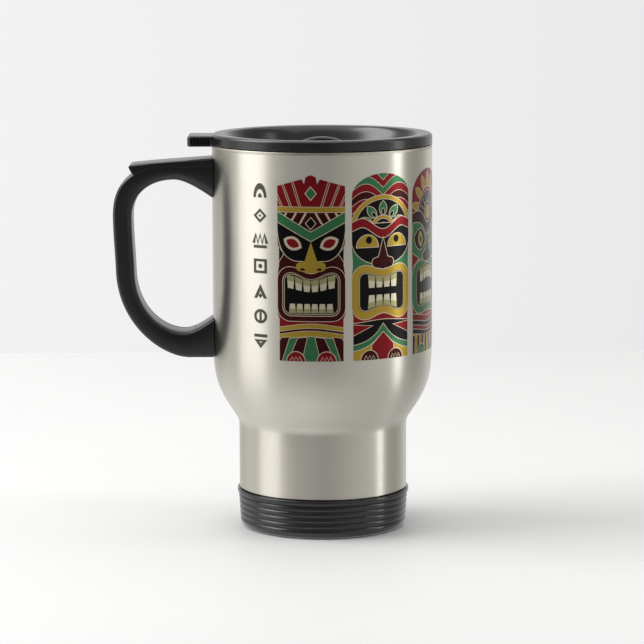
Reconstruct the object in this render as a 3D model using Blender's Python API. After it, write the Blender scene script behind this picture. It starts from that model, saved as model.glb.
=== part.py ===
"""Travel mug with a tapered double wall, a screwed-on handle and a slide-to-drink lid.

Metres, +Z up. The origin is the centre of the base pad's underside, the handle
points towards -X and the printed front faces -Y. Every solid is one loose piece
of the mug, and the lid's pieces hang from empties that stand on their joints.
"""

import math

import bmesh
import bpy
from mathutils import Matrix, Vector

MM = 0.001
GAP = 0.3 * MM            # clearance kept between pieces that touch
SEGMENTS = 48             # flats round every large turned piece
SMALL_SEGMENTS = 20       # flats round screws, washers and plugs

# Steel body
BODY_RADIUS = 43.0 * MM
STEM_RADIUS = 33.0 * MM   # narrow part, made for a car's cup holder
NECK_RADIUS = 31.2 * MM   # stretch of the stem that the base cup covers
SHELL_WALL = 0.6 * MM
WALL_SPACE = 3.6 * MM     # outer shell's outside to inner liner's outside
RIM_TOP = 150.7 * MM
RIM_THICK = 1.1 * MM
RIM_ROUNDING = 0.4 * MM
NECK_TOP = 15.6 * MM
SHELL_BOTTOM = 3.0 * MM
FLANGE_RADIUS = 27.0 * MM   # opening that the bottom plate closes
LINER_FLOOR = 11.0 * MM
LINER_CORNER = 6.0 * MM
PLATE_DOME = 1.2 * MM
PLATE_FLAT_RADIUS = 22.0 * MM
# Curves are a start, two leading points and an end, in millimetres
SHOULDER_CURVE = ((43.0, 76.0), (43.0, 61.0), (42.6, 56.5), (34.83, 45.3))
KNEE_CURVE = ((34.83, 45.3), (33.7, 43.7), (33.0, 42.6), (33.0, 40.5))

# Base
CUP_TOP = 15.3 * MM
CUP_BOTTOM = 0.4 * MM
CUP_FLANGE_RADIUS = 33.75 * MM
CUP_RIB_RADIUS = 33.25 * MM
CUP_FOOT_RADIUS = 32.8 * MM
CUP_FLOOR = 2.3 * MM
CUP_FOOT_HEIGHT = 0.8 * MM   # of the rounding round the foot
CUP_FOOT_ROUNDING = 1.5 * MM
CUP_FLANGE_HEIGHT = 1.7 * MM
RIB_PITCH = 2.3 * MM
RIB_COUNT = 5
RIB_DEPTH = 0.3 * MM
RIB_SLOPE = 0.3 * MM
GROOVE_WIDTH = 0.35 * MM
PAD_RADIUS = 26.0 * MM
PAD_THICK = 1.2 * MM

# Handle, outlined in the XZ plane
HANDLE_HALF_WIDTH = 8.5 * MM
HANDLE_CHAMFER = 1.1 * MM
HANDLE_ROOT = -41.0 * MM  # inside the body, trimmed back to its surface
ARM_TOP = 143.35 * MM
ARM_BOTTOM = 67.7 * MM
UPPER_ARM_X = (-46.5 * MM, -52.0 * MM)
LOWER_ARM_X = (-48.5 * MM, -45.0 * MM)
OUTER_CROWN = ((-58.0, 143.3), (-77.2, 142.9), (-81.4, 133.8), (-81.4, 123.0))
OUTER_BAR = ((-81.4 * MM, 123.0 * MM), (-81.0 * MM, 112.5 * MM))
OUTER_HEEL = ((-80.5, 102.0), (-80.0, 80.0), (-62.2, 67.7), (-52.0, 67.7))
INNER_ROOT = ((-41.0, 128.9), (-46.0, 132.6), (-53.0, 137.4), (-57.5, 137.4))
INNER_CROWN = ((-57.5, 137.4), (-66.4, 137.4), (-74.1, 132.4), (-74.1, 122.5))
INNER_BAR = ((-74.1 * MM, 122.5 * MM), (-73.6 * MM, 111.5 * MM))
INNER_HEEL = ((-73.2, 101.0), (-72.9, 85.8), (-62.5, 77.7), (-54.0, 77.7))
INNER_FOOT = ((-54.0, 77.7), (-50.0, 77.7), (-45.2, 81.4), (-41.0, 84.4))
LONG_STEPS = 9              # points in each long curve of the loop
SHORT_STEPS = 3
INSERT_DEPTH = 1.4 * MM
INSERT_HALF_WIDTH = 5.7 * MM
INSERT_CHAMFER = 0.4 * MM
INSERT_STATIONS = (8, 25)   # of the loop's points, counted from the upper arm
THUMB_STATIONS = 7          # the loop's points that the thumb rest covers
THUMB_TIP = ((-75.0 * MM, 142.5 * MM), (-74.7 * MM, 143.0 * MM), (-73.6 * MM, 143.25 * MM))
THUMB_SLOPE = ((-66.6 * MM, 143.95 * MM), (HANDLE_ROOT, 145.85 * MM))
THUMB_CHAMFER = 0.35 * MM
SCREW_X = -50.0 * MM
SCREW_RADIUS = 1.8 * MM
SCREW_POINT = 0.4 * MM
DRIVE_SIZE = (2.0 * MM, 0.5 * MM, 0.9 * MM)   # half length, half width and depth
HEAD_RADIUS = 3.5 * MM
HEAD_ROUNDING = 0.8 * MM
HEAD_INSET = 0.15 * MM      # below the arm's top face
SEAT_WEB = 1.0 * MM         # plastic between washer and tongue
PLUG_THICK = 1.3 * MM
PLUG_INSET = 0.2 * MM
HEAD_THICK = 1.5 * MM
WASHER_THICK = 0.4 * MM
TONGUE_THICK = 1.2 * MM
TONGUE_HALF_WIDTH = 5.0 * MM
TONGUE_REACH = -54.0 * MM
FOOT_BACK = -45.2 * MM    # rear face of the bracket's foot on the shell
UPPER_FOOT = 133.6 * MM   # heights where the brackets' feet end
LOWER_FOOT = 79.6 * MM

# Lid, with heights measured from the seat on the rim
LID_SEAT = RIM_TOP + GAP
LID_CROWN = 4.0 * MM
LID_EDGE = (0.25 * MM, 0.8 * MM)   # steps of the rounding round the crown
DISH_FLOOR = -5.5 * MM
DISH_RADIUS = 30.0 * MM
DISH_CURVE = ((38.6, 3.75), (35.6, 3.4), (33.6, -5.5), (30.0, -5.5))
DISH_STEPS = 6
DISH_BACK = -1.6 * MM     # where the dish's underside meets the plug
FLOOR_THICK = 2.0 * MM
PLUG_RADIUS = 37.8 * MM
PLUG_WALL = 2.0 * MM
PLUG_DEPTH = 13.0 * MM
PLUG_CHAMFER = 0.5 * MM
GROOVE_TOP = -5.9 * MM
GROOVE_BOTTOM = -9.5 * MM
GROOVE_RADIUS = 36.8 * MM
GASKET_RADIUS = 38.5 * MM
GASKET_LIP = 0.9 * MM
LIP_SPAN = (-0.7 * MM, 0.3 * MM)   # lip's flat, about the groove's middle
TAB_ROOT = -40.5 * MM
TAB_TIP = -52.2 * MM
TAB_HALF_WIDTH = 9.0 * MM
TAB_CORNER = 1.2 * MM
TAB_TOP = 3.4 * MM
TAB_BOTTOM = -0.7 * MM
TAB_RIB_START = -43.2 * MM
TAB_RIB_PITCH = 0.93 * MM
TAB_RIB_COUNT = 9
TAB_RIB_DEPTH = 0.35 * MM
DRINK_HOLE_Y = 23.7 * MM
DRINK_HOLE_SIZE = (15.0 * MM, 6.5 * MM)
VENT_Y = -26.0 * MM
VENT_RADIUS = 0.9 * MM

# Slider, closed at rest, opening towards -Y
SLIDER_TRAVEL = 9.0 * MM
SLIDER_BACK = -12.5 * MM
SLIDER_FRONT = 28.5 * MM
SLIDER_HALF_WIDTH = 12.0 * MM
SLIDER_THICK = 2.2 * MM
SLIDER_CORNER = 6.0 * MM
OVERLAP = 0.5 * MM        # of the fin and the pin with the slider's plate
STEM_PIN_RADIUS = 2.0 * MM
PIN_REACH = 0.6 * MM      # below the clip
FIN_Y = 6.0 * MM
FIN_TOP = 2.0 * MM        # above the lid's seat
FIN_THICK = 4.0 * MM
FIN_HALF_WIDTH = 11.0 * MM
FIN_ARCH_RADIUS = 21.0 * MM
FIN_STEPS = 8
SEAL_THICK = 0.8 * MM
SEAL_MARGIN = (1.8 * MM, 1.2 * MM)   # of the seal round the drinking hole
SEAL_CORNER = 3.2 * MM
CLIP_RADIUS = 5.5 * MM
CLIP_THICK = 1.2 * MM


def clear_scene():
    for obj in list(bpy.data.objects):
        bpy.data.objects.remove(obj, do_unlink=True)


def finish(name, colour, roughness, metallic):
    """A Principled material."""
    made = bpy.data.materials.new(name)
    made.use_nodes = True
    shader = made.node_tree.nodes["Principled BSDF"]
    shader.inputs["Base Color"].default_value = (*colour, 1.0)
    shader.inputs["Roughness"].default_value = roughness
    shader.inputs["Metallic"].default_value = metallic
    return made


def make_finishes():
    """One finish for each kind of surface on the mug."""
    return {
        "brushed_steel": finish("brushed_steel", (0.60, 0.57, 0.50), 0.32, 1.0),
        "plain_steel": finish("plain_steel", (0.55, 0.55, 0.54), 0.25, 1.0),
        "black_plastic": finish("black_plastic", (0.022, 0.022, 0.024), 0.45, 0.0),
        "lid_plastic": finish("lid_plastic", (0.030, 0.030, 0.033), 0.38, 0.0),
        "grey_silicone": finish("grey_silicone", (0.10, 0.10, 0.10), 0.60, 0.0),
        "foot_rubber": finish("foot_rubber", (0.015, 0.015, 0.015), 0.75, 0.0),
    }


def add_empty(name, location, parent=None):
    empty = bpy.data.objects.new(name, None)
    empty.empty_display_size = 0.01
    empty.location = location
    empty.parent = parent
    bpy.context.scene.collection.objects.link(empty)
    return empty


def add_piece(name, bm, parent, material=None):
    """Turns a bmesh into an object. Its mesh is in the parent's own space."""
    bmesh.ops.recalc_face_normals(bm, faces=bm.faces[:])
    mesh = bpy.data.meshes.new(name)
    bm.to_mesh(mesh)
    bm.free()
    mesh.shade_smooth()
    mesh.set_sharp_from_angle(angle=math.radians(32.0))
    piece = bpy.data.objects.new(name, mesh)
    piece.parent = parent
    bpy.context.scene.collection.objects.link(piece)
    if material:
        mesh.materials.append(material)
    return piece


def add_cutter(name, bm, parent):
    cutter = add_piece(name, bm, parent)
    cutter.hide_render = True
    cutter.display_type = "WIRE"
    return cutter


def combine(piece, operation, *others):
    """Adds one exact Boolean to the piece for each of the others."""
    for other in others:
        boolean = piece.modifiers.new(other.name, "BOOLEAN")
        boolean.operation = operation
        boolean.solver = "EXACT"
        boolean.object = other


def turned(profile, segments=SEGMENTS, centre=(0.0, 0.0)):
    """Spins a closed (radius, height) profile about a vertical axis."""
    bm = bmesh.new()
    verts = [bm.verts.new((radius, 0.0, height)) for radius, height in profile]
    edges = [bm.edges.new((verts[i - 1], verts[i])) for i in range(len(verts))]
    on_axis = [e for e in edges if max(v.co.x for v in e.verts) < 1e-9]
    bmesh.ops.delete(bm, geom=on_axis, context="EDGES")
    bmesh.ops.spin(
        bm,
        geom=bm.verts[:] + bm.edges[:],
        cent=(0.0, 0.0, 0.0),
        axis=(0.0, 0.0, 1.0),
        angle=math.tau,
        steps=segments,
        use_merge=True,
    )
    bmesh.ops.remove_doubles(bm, verts=bm.verts[:], dist=1e-7)
    bmesh.ops.translate(bm, verts=bm.verts[:], vec=(*centre, 0.0))
    return bm


def disc(radius, bottom, top, segments=SEGMENTS, centre=(0.0, 0.0)):
    profile = [(0.0, bottom), (radius, bottom), (radius, top), (0.0, top)]
    return turned(profile, segments, centre)


def ring(inner, outer, bottom, top, segments=SEGMENTS, centre=(0.0, 0.0)):
    profile = [(inner, bottom), (outer, bottom), (outer, top), (inner, top)]
    return turned(profile, segments, centre)


def extruded(outline, along, start, end):
    """Extrudes a closed outline of 3-D points from start to end along a unit vector."""
    bm = bmesh.new()
    direction = Vector(along)
    verts = [bm.verts.new(Vector(point) + direction * start) for point in outline]
    face = bm.faces.new(verts)
    grown = bmesh.ops.extrude_face_region(bm, geom=[face])
    moved = [v for v in grown["geom"] if isinstance(v, bmesh.types.BMVert)]
    bmesh.ops.translate(bm, verts=moved, vec=direction * (end - start))
    return bm


def side_slab(outline, half_width):
    """Extrudes an (x, z) outline to both sides of the handle's middle plane."""
    points = [(x, 0.0, z) for x, z in outline]
    return extruded(points, (0.0, 1.0, 0.0), -half_width, half_width)


def flat_slab(outline, bottom, top):
    """Extrudes an (x, y) outline upwards."""
    points = [(x, y, 0.0) for x, y in outline]
    return extruded(points, (0.0, 0.0, 1.0), bottom, top)


def block(low, high):
    bm = bmesh.new()
    size = [b - a for a, b in zip(low, high)]
    middle = [(a + b) / 2 for a, b in zip(low, high)]
    matrix = Matrix.Translation(middle) @ Matrix.Diagonal((*size, 1.0))
    bmesh.ops.create_cube(bm, size=1.0, matrix=matrix)
    return bm


def curve(corners, count):
    """Points in metres of a cubic Bezier given in millimetres, without its last point."""
    points = []
    for i in range(count):
        t = i / count
        weights = ((1 - t) ** 3, 3 * (1 - t) ** 2 * t, 3 * (1 - t) * t ** 2, t ** 3)
        x = sum(w * p[0] for w, p in zip(weights, corners)) * MM
        z = sum(w * p[1] for w, p in zip(weights, corners)) * MM
        points.append((x, z))
    return points


def curve_end(corners):
    return corners[-1][0] * MM, corners[-1][1] * MM


def rounded_rectangle(low, high, radius, steps=4):
    """An (x, y) outline with round corners, anticlockwise."""
    corners = (
        (high[0] - radius, high[1] - radius, 0.0),
        (low[0] + radius, high[1] - radius, 90.0),
        (low[0] + radius, low[1] + radius, 180.0),
        (high[0] - radius, low[1] + radius, 270.0),
    )
    points = []
    for x, y, first in corners:
        for i in range(steps + 1):
            angle = math.radians(first + 90.0 * i / steps)
            points.append((x + radius * math.cos(angle), y + radius * math.sin(angle)))
    return points


def body_curve(inset):
    """The body's outside from its shoulder down to the stem, moved in by inset."""
    points = curve(SHOULDER_CURVE, 7) + curve(KNEE_CURVE, 3)
    points.append(curve_end(KNEE_CURVE))
    return [(radius - inset, height) for radius, height in points]


def build_outer_shell(parent, material):
    """Drawn steel wall, stepped in where the base cup covers it."""
    outside = [(BODY_RADIUS, RIM_TOP - RIM_THICK - GAP)]
    outside += body_curve(0.0)
    outside.append((STEM_RADIUS, NECK_TOP + GAP))
    outside.append((NECK_RADIUS, NECK_TOP))
    outside.append((NECK_RADIUS, SHELL_BOTTOM))
    inside = [(FLANGE_RADIUS, SHELL_BOTTOM), (FLANGE_RADIUS, SHELL_BOTTOM + SHELL_WALL)]
    inside.append((NECK_RADIUS - SHELL_WALL, SHELL_BOTTOM + SHELL_WALL))
    inside.append((NECK_RADIUS - SHELL_WALL, NECK_TOP + SHELL_WALL))
    inside.append((STEM_RADIUS - SHELL_WALL, NECK_TOP + GAP + SHELL_WALL))
    inside += reversed(body_curve(SHELL_WALL))
    inside.append((BODY_RADIUS - SHELL_WALL, RIM_TOP - RIM_THICK - GAP))
    add_piece("outer_shell", turned(outside + inside), parent, material)


def liner_wall(inset):
    """One side of the liner from under the rim to its floor, moved in by inset."""
    radius = STEM_RADIUS - inset
    depth = inset - WALL_SPACE
    floor = LINER_FLOOR + depth
    corner = LINER_CORNER - depth
    points = body_curve(inset)
    for i in range(4):
        angle = math.radians(30.0 * i)
        across = radius - corner + corner * math.cos(angle)
        points.append((across, floor + corner - corner * math.sin(angle)))
    return points + [(0.0, floor)]


def build_inner_liner(parent, material):
    """Deep-drawn inner cup, with the rolled rim that closes the double wall."""
    outer = BODY_RADIUS - WALL_SPACE
    profile = [(BODY_RADIUS, RIM_TOP - RIM_THICK), (outer, RIM_TOP - RIM_THICK)]
    profile += liner_wall(WALL_SPACE)
    profile += reversed(liner_wall(WALL_SPACE + SHELL_WALL))
    profile.append((outer - SHELL_WALL, RIM_TOP - RIM_ROUNDING))
    profile.append((outer - SHELL_WALL + RIM_ROUNDING, RIM_TOP))
    profile.append((BODY_RADIUS - RIM_ROUNDING, RIM_TOP))
    profile.append((BODY_RADIUS, RIM_TOP - RIM_ROUNDING))
    add_piece("inner_liner", turned(profile), parent, material)


def build_bottom_plate(parent, material):
    """Domed disc welded across the outer shell's foot."""
    edge = NECK_RADIUS - SHELL_WALL - GAP
    low = SHELL_BOTTOM + SHELL_WALL + GAP
    high = low + PLATE_DOME
    flat = PLATE_FLAT_RADIUS
    slope_end = flat + PLATE_DOME
    profile = [(0.0, high), (flat, high), (slope_end, low), (edge, low)]
    profile += [(edge, low + SHELL_WALL), (slope_end, low + SHELL_WALL)]
    profile += [(flat, high + SHELL_WALL), (0.0, high + SHELL_WALL)]
    add_piece("bottom_plate", turned(profile), parent, material)


def cup_ribs():
    """Outside of the base cup, from its flange down its grooves."""
    flange_foot = CUP_TOP - CUP_FLANGE_HEIGHT
    points = [(CUP_FLANGE_RADIUS, CUP_TOP), (CUP_FLANGE_RADIUS, flange_foot)]
    top = flange_foot - RIB_SLOPE
    for i in range(RIB_COUNT):
        height = top - i * RIB_PITCH
        lean = (CUP_RIB_RADIUS - CUP_FOOT_RADIUS) * i / RIB_COUNT
        crest = CUP_RIB_RADIUS - lean
        points.append((crest - RIB_DEPTH, height))
        points.append((crest - RIB_DEPTH, height - GROOVE_WIDTH))
        points.append((crest, height - GROOVE_WIDTH - RIB_SLOPE))
        points.append((crest, height - RIB_PITCH + RIB_SLOPE))
    return points


def build_base_cup(parent, material):
    """Ribbed plastic foot that the steel stem is bonded into."""
    inner = NECK_RADIUS + GAP
    floor = CUP_BOTTOM + CUP_FLOOR
    recess = PAD_THICK + GAP
    profile = [(inner, CUP_TOP)] + cup_ribs()
    profile += [(CUP_FOOT_RADIUS - CUP_FOOT_ROUNDING / 3, CUP_BOTTOM + CUP_FOOT_HEIGHT)]
    profile += [(CUP_FOOT_RADIUS - CUP_FOOT_ROUNDING, CUP_BOTTOM)]
    profile += [(PAD_RADIUS + GAP, CUP_BOTTOM), (PAD_RADIUS + GAP, recess), (0.0, recess)]
    profile += [(0.0, floor), (inner, floor)]
    add_piece("base_cup", turned(profile[::-1]), parent, material)


def build_base_pad(parent, material):
    """Non-slip disc that the mug stands on, slightly proud of the cup."""
    pad = disc(PAD_RADIUS, 0.0, PAD_THICK)
    add_piece("base_pad", pad, parent, material)


def handle_outside():
    """The loop's outer edge, from the upper arm's root round to the lower arm's."""
    points = [(x, ARM_TOP) for x in (HANDLE_ROOT, *UPPER_ARM_X)]
    points += curve(OUTER_CROWN, LONG_STEPS)
    points += OUTER_BAR
    points += curve(OUTER_HEEL, LONG_STEPS)
    points.append(curve_end(OUTER_HEEL))
    return points + [(x, ARM_BOTTOM) for x in (*LOWER_ARM_X, HANDLE_ROOT)]


def handle_inside():
    """The finger loop's edge, with one point for each point of the outer edge."""
    points = curve(INNER_ROOT, SHORT_STEPS) + curve(INNER_CROWN, LONG_STEPS)
    points += INNER_BAR
    points += curve(INNER_HEEL, LONG_STEPS) + curve(INNER_FOOT, SHORT_STEPS)
    points.append(curve_end(INNER_FOOT))
    return points


def loop_section(inner, outer, near, far, half_width, chamfer):
    """One cross-section of the loop, from near to far, measured from the finger side."""
    start = Vector((inner[0], 0.0, inner[1]))
    end = Vector((outer[0], 0.0, outer[1]))
    across = (end - start).normalized()
    thick = (end - start).length
    low = near
    high = thick if far is None else far
    side = half_width
    shape = [(low, -side), (low, side), (high, side), (high, -side)]
    if chamfer:
        shape = [
            (low, -side + chamfer),
            (low, side - chamfer),
            (low + chamfer, side),
            (high - chamfer, side),
            (high, side - chamfer),
            (high, -side + chamfer),
            (high - chamfer, -side),
            (low + chamfer, -side),
        ]
    return [start + across * depth + Vector((0.0, y, 0.0)) for depth, y in shape]


def loop_solid(first, last, near, far, half_width, chamfer):
    """A solid that follows the handle's loop between two of its stations."""
    bm = bmesh.new()
    stations = list(zip(handle_inside(), handle_outside()))[first:last]
    rows = []
    for inner, outer in stations:
        section = loop_section(inner, outer, near, far, half_width, chamfer)
        rows.append([bm.verts.new(point) for point in section])
    for row, after in zip(rows, rows[1:]):
        for i in range(len(row)):
            bm.faces.new((row[i - 1], row[i], after[i], after[i - 1]))
    bm.faces.new(rows[0])
    bm.faces.new(rows[-1])
    return bm


def body_clearance(parent):
    """The steel body grown by the gap, which trims whatever is fixed to it."""
    profile = [(0.0, RIM_TOP), (BODY_RADIUS + GAP, RIM_TOP)]
    profile += body_curve(-GAP)
    profile += [(STEM_RADIUS + GAP, NECK_TOP), (0.0, NECK_TOP)]
    return add_cutter("body_clearance", turned(profile), parent)


def arm_levels(upper):
    """Heights that fix one arm's joint, from the screw's head inwards to the tongue."""
    inwards = -1.0 if upper else 1.0
    face = ARM_TOP if upper else ARM_BOTTOM
    cover = HEAD_INSET if upper else PLUG_INSET + PLUG_THICK + GAP
    head = face + inwards * cover
    washer = head + inwards * (HEAD_THICK + GAP)
    seat = washer + inwards * (WASHER_THICK + GAP)
    tongue = seat + inwards * (SEAT_WEB + GAP)
    return {
        "inwards": inwards,
        "face": face,
        "head": head,
        "washer": washer,
        "seat": seat,
        "tongue": tongue,
        "back": tongue + inwards * TONGUE_THICK,
        "foot": UPPER_FOOT if upper else LOWER_FOOT,
    }


def bracket_outline(level, grow):
    """Side view of a bracket: a tongue into the arm and a foot on the shell."""
    inwards = level["inwards"]
    tongue = level["tongue"] - inwards * grow
    back = level["back"] + inwards * grow
    foot = level["foot"] + inwards * grow
    root = HANDLE_ROOT + 4 * grow
    reach = TONGUE_REACH - grow
    heel = FOOT_BACK - grow
    return [(root, tongue), (reach, tongue), (reach, back), (heel, back), (heel, foot), (root, foot)]


def build_bracket(name, level, parent, material, trim):
    """Steel angle welded to the shell, whose tongue slips into the arm."""
    angle = side_slab(bracket_outline(level, 0.0), TONGUE_HALF_WIDTH)
    bracket = add_piece(name, angle, parent, material)
    low = min(level["tongue"], level["back"]) - MM
    high = max(level["tongue"], level["back"]) + MM
    hole = disc(SCREW_RADIUS + GAP, low, high, SMALL_SEGMENTS, (SCREW_X, 0.0))
    combine(bracket, "DIFFERENCE", trim, add_cutter(name + "_hole", hole, parent))


def arm_cutters(name, level, parent):
    """What each arm loses: the bracket's pocket, and the screw's stepped hole."""
    inwards = level["inwards"]
    outside = level["face"] - inwards * MM
    inside = level["back"] + inwards * 0.1 * MM
    wide = HEAD_RADIUS + GAP
    narrow = SCREW_RADIUS + GAP
    stepped = [(0.0, outside), (wide, outside), (wide, level["seat"])]
    stepped += [(narrow, level["seat"]), (narrow, inside), (0.0, inside)]
    hole = turned(stepped, SMALL_SEGMENTS, (SCREW_X, 0.0))
    pocket = side_slab(bracket_outline(level, GAP), TONGUE_HALF_WIDTH + 2 * GAP)
    return [
        add_cutter(name + "_pocket", pocket, parent),
        add_cutter(name + "_screw_hole", hole, parent),
    ]


def build_screw(name, level, parent, material):
    """Pan-head screw, its head towards the arm's outer face."""
    inwards = level["inwards"]
    tip = level["back"]
    head_end = level["head"] + inwards * HEAD_THICK
    profile = [
        (0.0, level["head"]),
        (HEAD_RADIUS - HEAD_ROUNDING, level["head"]),
        (HEAD_RADIUS, level["head"] + inwards * HEAD_ROUNDING),
        (HEAD_RADIUS, head_end),
        (SCREW_RADIUS, head_end),
        (SCREW_RADIUS, tip - inwards * SCREW_POINT),
        (SCREW_RADIUS - SCREW_POINT, tip),
        (0.0, tip),
    ]
    screw = add_piece(name, turned(profile, SMALL_SEGMENTS, (SCREW_X, 0.0)), parent, material)
    long, short, depth = DRIVE_SIZE
    bottom, top = sorted((level["head"] - inwards * MM, level["head"] + inwards * depth))
    for turn, half_x, half_y in (("slot", long, short), ("cross", short, long)):
        drive = block((SCREW_X - half_x, -half_y, bottom), (SCREW_X + half_x, half_y, top))
        combine(screw, "DIFFERENCE", add_cutter(name + "_" + turn, drive, parent))


def build_washer(name, level, parent, material):
    low, high = sorted((level["washer"], level["washer"] + level["inwards"] * WASHER_THICK))
    washer = ring(SCREW_RADIUS + GAP, HEAD_RADIUS, low, high, SMALL_SEGMENTS, (SCREW_X, 0.0))
    add_piece(name, washer, parent, material)


def build_handle_body(upper, lower, trim, parent, material):
    """Moulded loop with a channel for the insert and a socket at each arm."""
    loop = loop_solid(0, None, 0.0, None, HANDLE_HALF_WIDTH, HANDLE_CHAMFER)
    handle = add_piece("handle_body", loop, parent, material)
    channel_width = INSERT_HALF_WIDTH + GAP
    channel = loop_solid(*INSERT_STATIONS, -2.0 * MM, INSERT_DEPTH + GAP, channel_width, 0.0)
    combine(handle, "DIFFERENCE", trim)
    combine(handle, "DIFFERENCE", *arm_cutters("upper_arm", upper, parent))
    combine(handle, "DIFFERENCE", *arm_cutters("lower_arm", lower, parent))
    combine(handle, "DIFFERENCE", add_cutter("insert_channel", channel, parent))


def build_handle_insert(parent, material):
    """Soft strip under the fingers, let into the loop's inner face."""
    strip = loop_solid(*INSERT_STATIONS, 0.0, INSERT_DEPTH, INSERT_HALF_WIDTH, INSERT_CHAMFER)
    insert = add_piece("handle_insert", strip, parent, material)
    ends = list(zip(handle_inside(), handle_outside()))
    first, last = INSERT_STATIONS
    for side, station in (("top", ends[first]), ("bottom", ends[last - 1])):
        inner = Vector((station[0][0], 0.0, station[0][1]))
        outer = Vector((station[1][0], 0.0, station[1][1]))
        across = (outer - inner).normalized()
        reach = Vector((-across.z, 0.0, across.x)) * GAP
        start = inner - across * MM
        end = inner + across * (INSERT_DEPTH + MM)
        corners = (start - reach, end - reach, end + reach, start + reach)
        end_cut = side_slab([(p.x, p.z) for p in corners], HANDLE_HALF_WIDTH)
        combine(insert, "DIFFERENCE", add_cutter("insert_end_" + side, end_cut, parent))


def build_thumb_rest(trim, parent, material):
    """Cover plate over the upper screw, running out into a thumb tip."""
    arm = handle_outside()[:THUMB_STATIONS]
    underside = []
    for i, (x, z) in enumerate(arm):
        before = arm[max(i - 1, 0)]
        after = arm[min(i + 1, len(arm) - 1)]
        run = Vector((after[0] - before[0], after[1] - before[1])).normalized()
        underside.append((x + run.y * GAP, z - run.x * GAP))
    slab = side_slab(underside + list(THUMB_TIP + THUMB_SLOPE), HANDLE_HALF_WIDTH)
    slope = [edge for edge in slab.edges
             if min(v.co.z for v in edge.verts) > THUMB_TIP[-1][1] - GAP
             and max(v.co.z for v in edge.verts) > THUMB_SLOPE[0][1] - GAP
             and edge.verts[0].co.x != edge.verts[1].co.x]
    bmesh.ops.bevel(slab, geom=slope, offset=THUMB_CHAMFER, segments=1, affect="EDGES")
    combine(add_piece("thumb_rest", slab, parent, material), "DIFFERENCE", trim)


def build_screw_plug(level, parent, material):
    """Cap that hides the lower screw."""
    face = level["face"] + PLUG_INSET
    plug = disc(HEAD_RADIUS, face, level["head"] - GAP, SMALL_SEGMENTS, (SCREW_X, 0.0))
    add_piece("lower_screw_plug", plug, parent, material)


def lid_profile():
    """Half-section of the lid: skirt, crown, dish, floor, plug and gasket groove."""
    plug_inside = PLUG_RADIUS - PLUG_WALL
    floor_back = DISH_FLOOR - FLOOR_THICK
    small, large = LID_EDGE
    profile = [(BODY_RADIUS, 0.0), (BODY_RADIUS, LID_CROWN - large)]
    profile += [(BODY_RADIUS - small, LID_CROWN - small), (BODY_RADIUS - large, LID_CROWN)]
    profile += curve(DISH_CURVE, DISH_STEPS)
    profile += [curve_end(DISH_CURVE), (0.0, DISH_FLOOR), (0.0, floor_back)]
    profile += [(DISH_RADIUS + MM, floor_back), (plug_inside, DISH_BACK)]
    profile += [(plug_inside, -PLUG_DEPTH), (PLUG_RADIUS - PLUG_CHAMFER, -PLUG_DEPTH)]
    profile += [(PLUG_RADIUS, -PLUG_DEPTH + PLUG_CHAMFER), (PLUG_RADIUS, GROOVE_BOTTOM)]
    profile += [(GROOVE_RADIUS, GROOVE_BOTTOM), (GROOVE_RADIUS, GROOVE_TOP)]
    profile += [(PLUG_RADIUS, GROOVE_TOP), (PLUG_RADIUS, 0.0)]
    return profile


def tab_outline():
    """Plan of the pull tab, with the grip ribs down both sides."""
    side = [(TAB_ROOT, TAB_HALF_WIDTH)]
    for i in range(TAB_RIB_COUNT):
        x = TAB_RIB_START - i * TAB_RIB_PITCH
        side.append((x, TAB_HALF_WIDTH - TAB_RIB_DEPTH))
        side.append((x - TAB_RIB_PITCH / 2, TAB_HALF_WIDTH))
    side.append((TAB_TIP, TAB_HALF_WIDTH - TAB_CORNER))
    return side + [(x, -y) for x, y in reversed(side)]


def slot_cutter(name, low, high, parent):
    """A round-ended hole straight through the dish floor."""
    almost_half = 0.499       # a little short of half, so no two corners coincide
    radius = almost_half * min(high[0] - low[0], high[1] - low[1])
    outline = rounded_rectangle(low, high, radius)
    through = flat_slab(outline, DISH_FLOOR - FLOOR_THICK - MM, DISH_FLOOR + MM)
    return add_cutter(name, through, parent)


def build_lid(parent, material):
    """Press-in lid with a dished top, drinking hole and pull tab."""
    lid = add_piece("lid_body", turned(lid_profile()), parent, material)
    tab = add_cutter("tab", flat_slab(tab_outline(), TAB_BOTTOM, TAB_TOP), parent)
    rim_space = disc(BODY_RADIUS + GAP, 2 * TAB_BOTTOM, 0.2 * MM)
    combine(tab, "DIFFERENCE", add_cutter("rim_space", rim_space, parent))
    combine(lid, "UNION", tab)
    half_x = DRINK_HOLE_SIZE[0] / 2
    half_y = DRINK_HOLE_SIZE[1] / 2
    mouth = slot_cutter("drink_hole", (-half_x, DRINK_HOLE_Y - half_y),
                        (half_x, DRINK_HOLE_Y + half_y), parent)
    play = STEM_PIN_RADIUS + GAP
    track = slot_cutter("slider_track", (-play, -SLIDER_TRAVEL - play), (play, play), parent)
    low = DISH_FLOOR - FLOOR_THICK - MM
    vent = disc(VENT_RADIUS, low, DISH_FLOOR + MM, SMALL_SEGMENTS, (0.0, VENT_Y))
    combine(lid, "DIFFERENCE", mouth, track, add_cutter("vent_hole", vent, parent))


def build_gasket(parent, material):
    """Silicone ring in the plug's groove, with a rounded sealing lip."""
    inner = GROOVE_RADIUS + GAP
    bottom = GROOVE_BOTTOM + GAP
    top = GROOVE_TOP - GAP
    root = GASKET_RADIUS - GASKET_LIP
    middle = (bottom + top) / 2
    lip = [(GASKET_RADIUS, middle + height) for height in LIP_SPAN]
    profile = [(inner, bottom), (root, bottom), *lip, (root, top), (inner, top)]
    add_piece("lid_gasket", turned(profile), parent, material)


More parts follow.
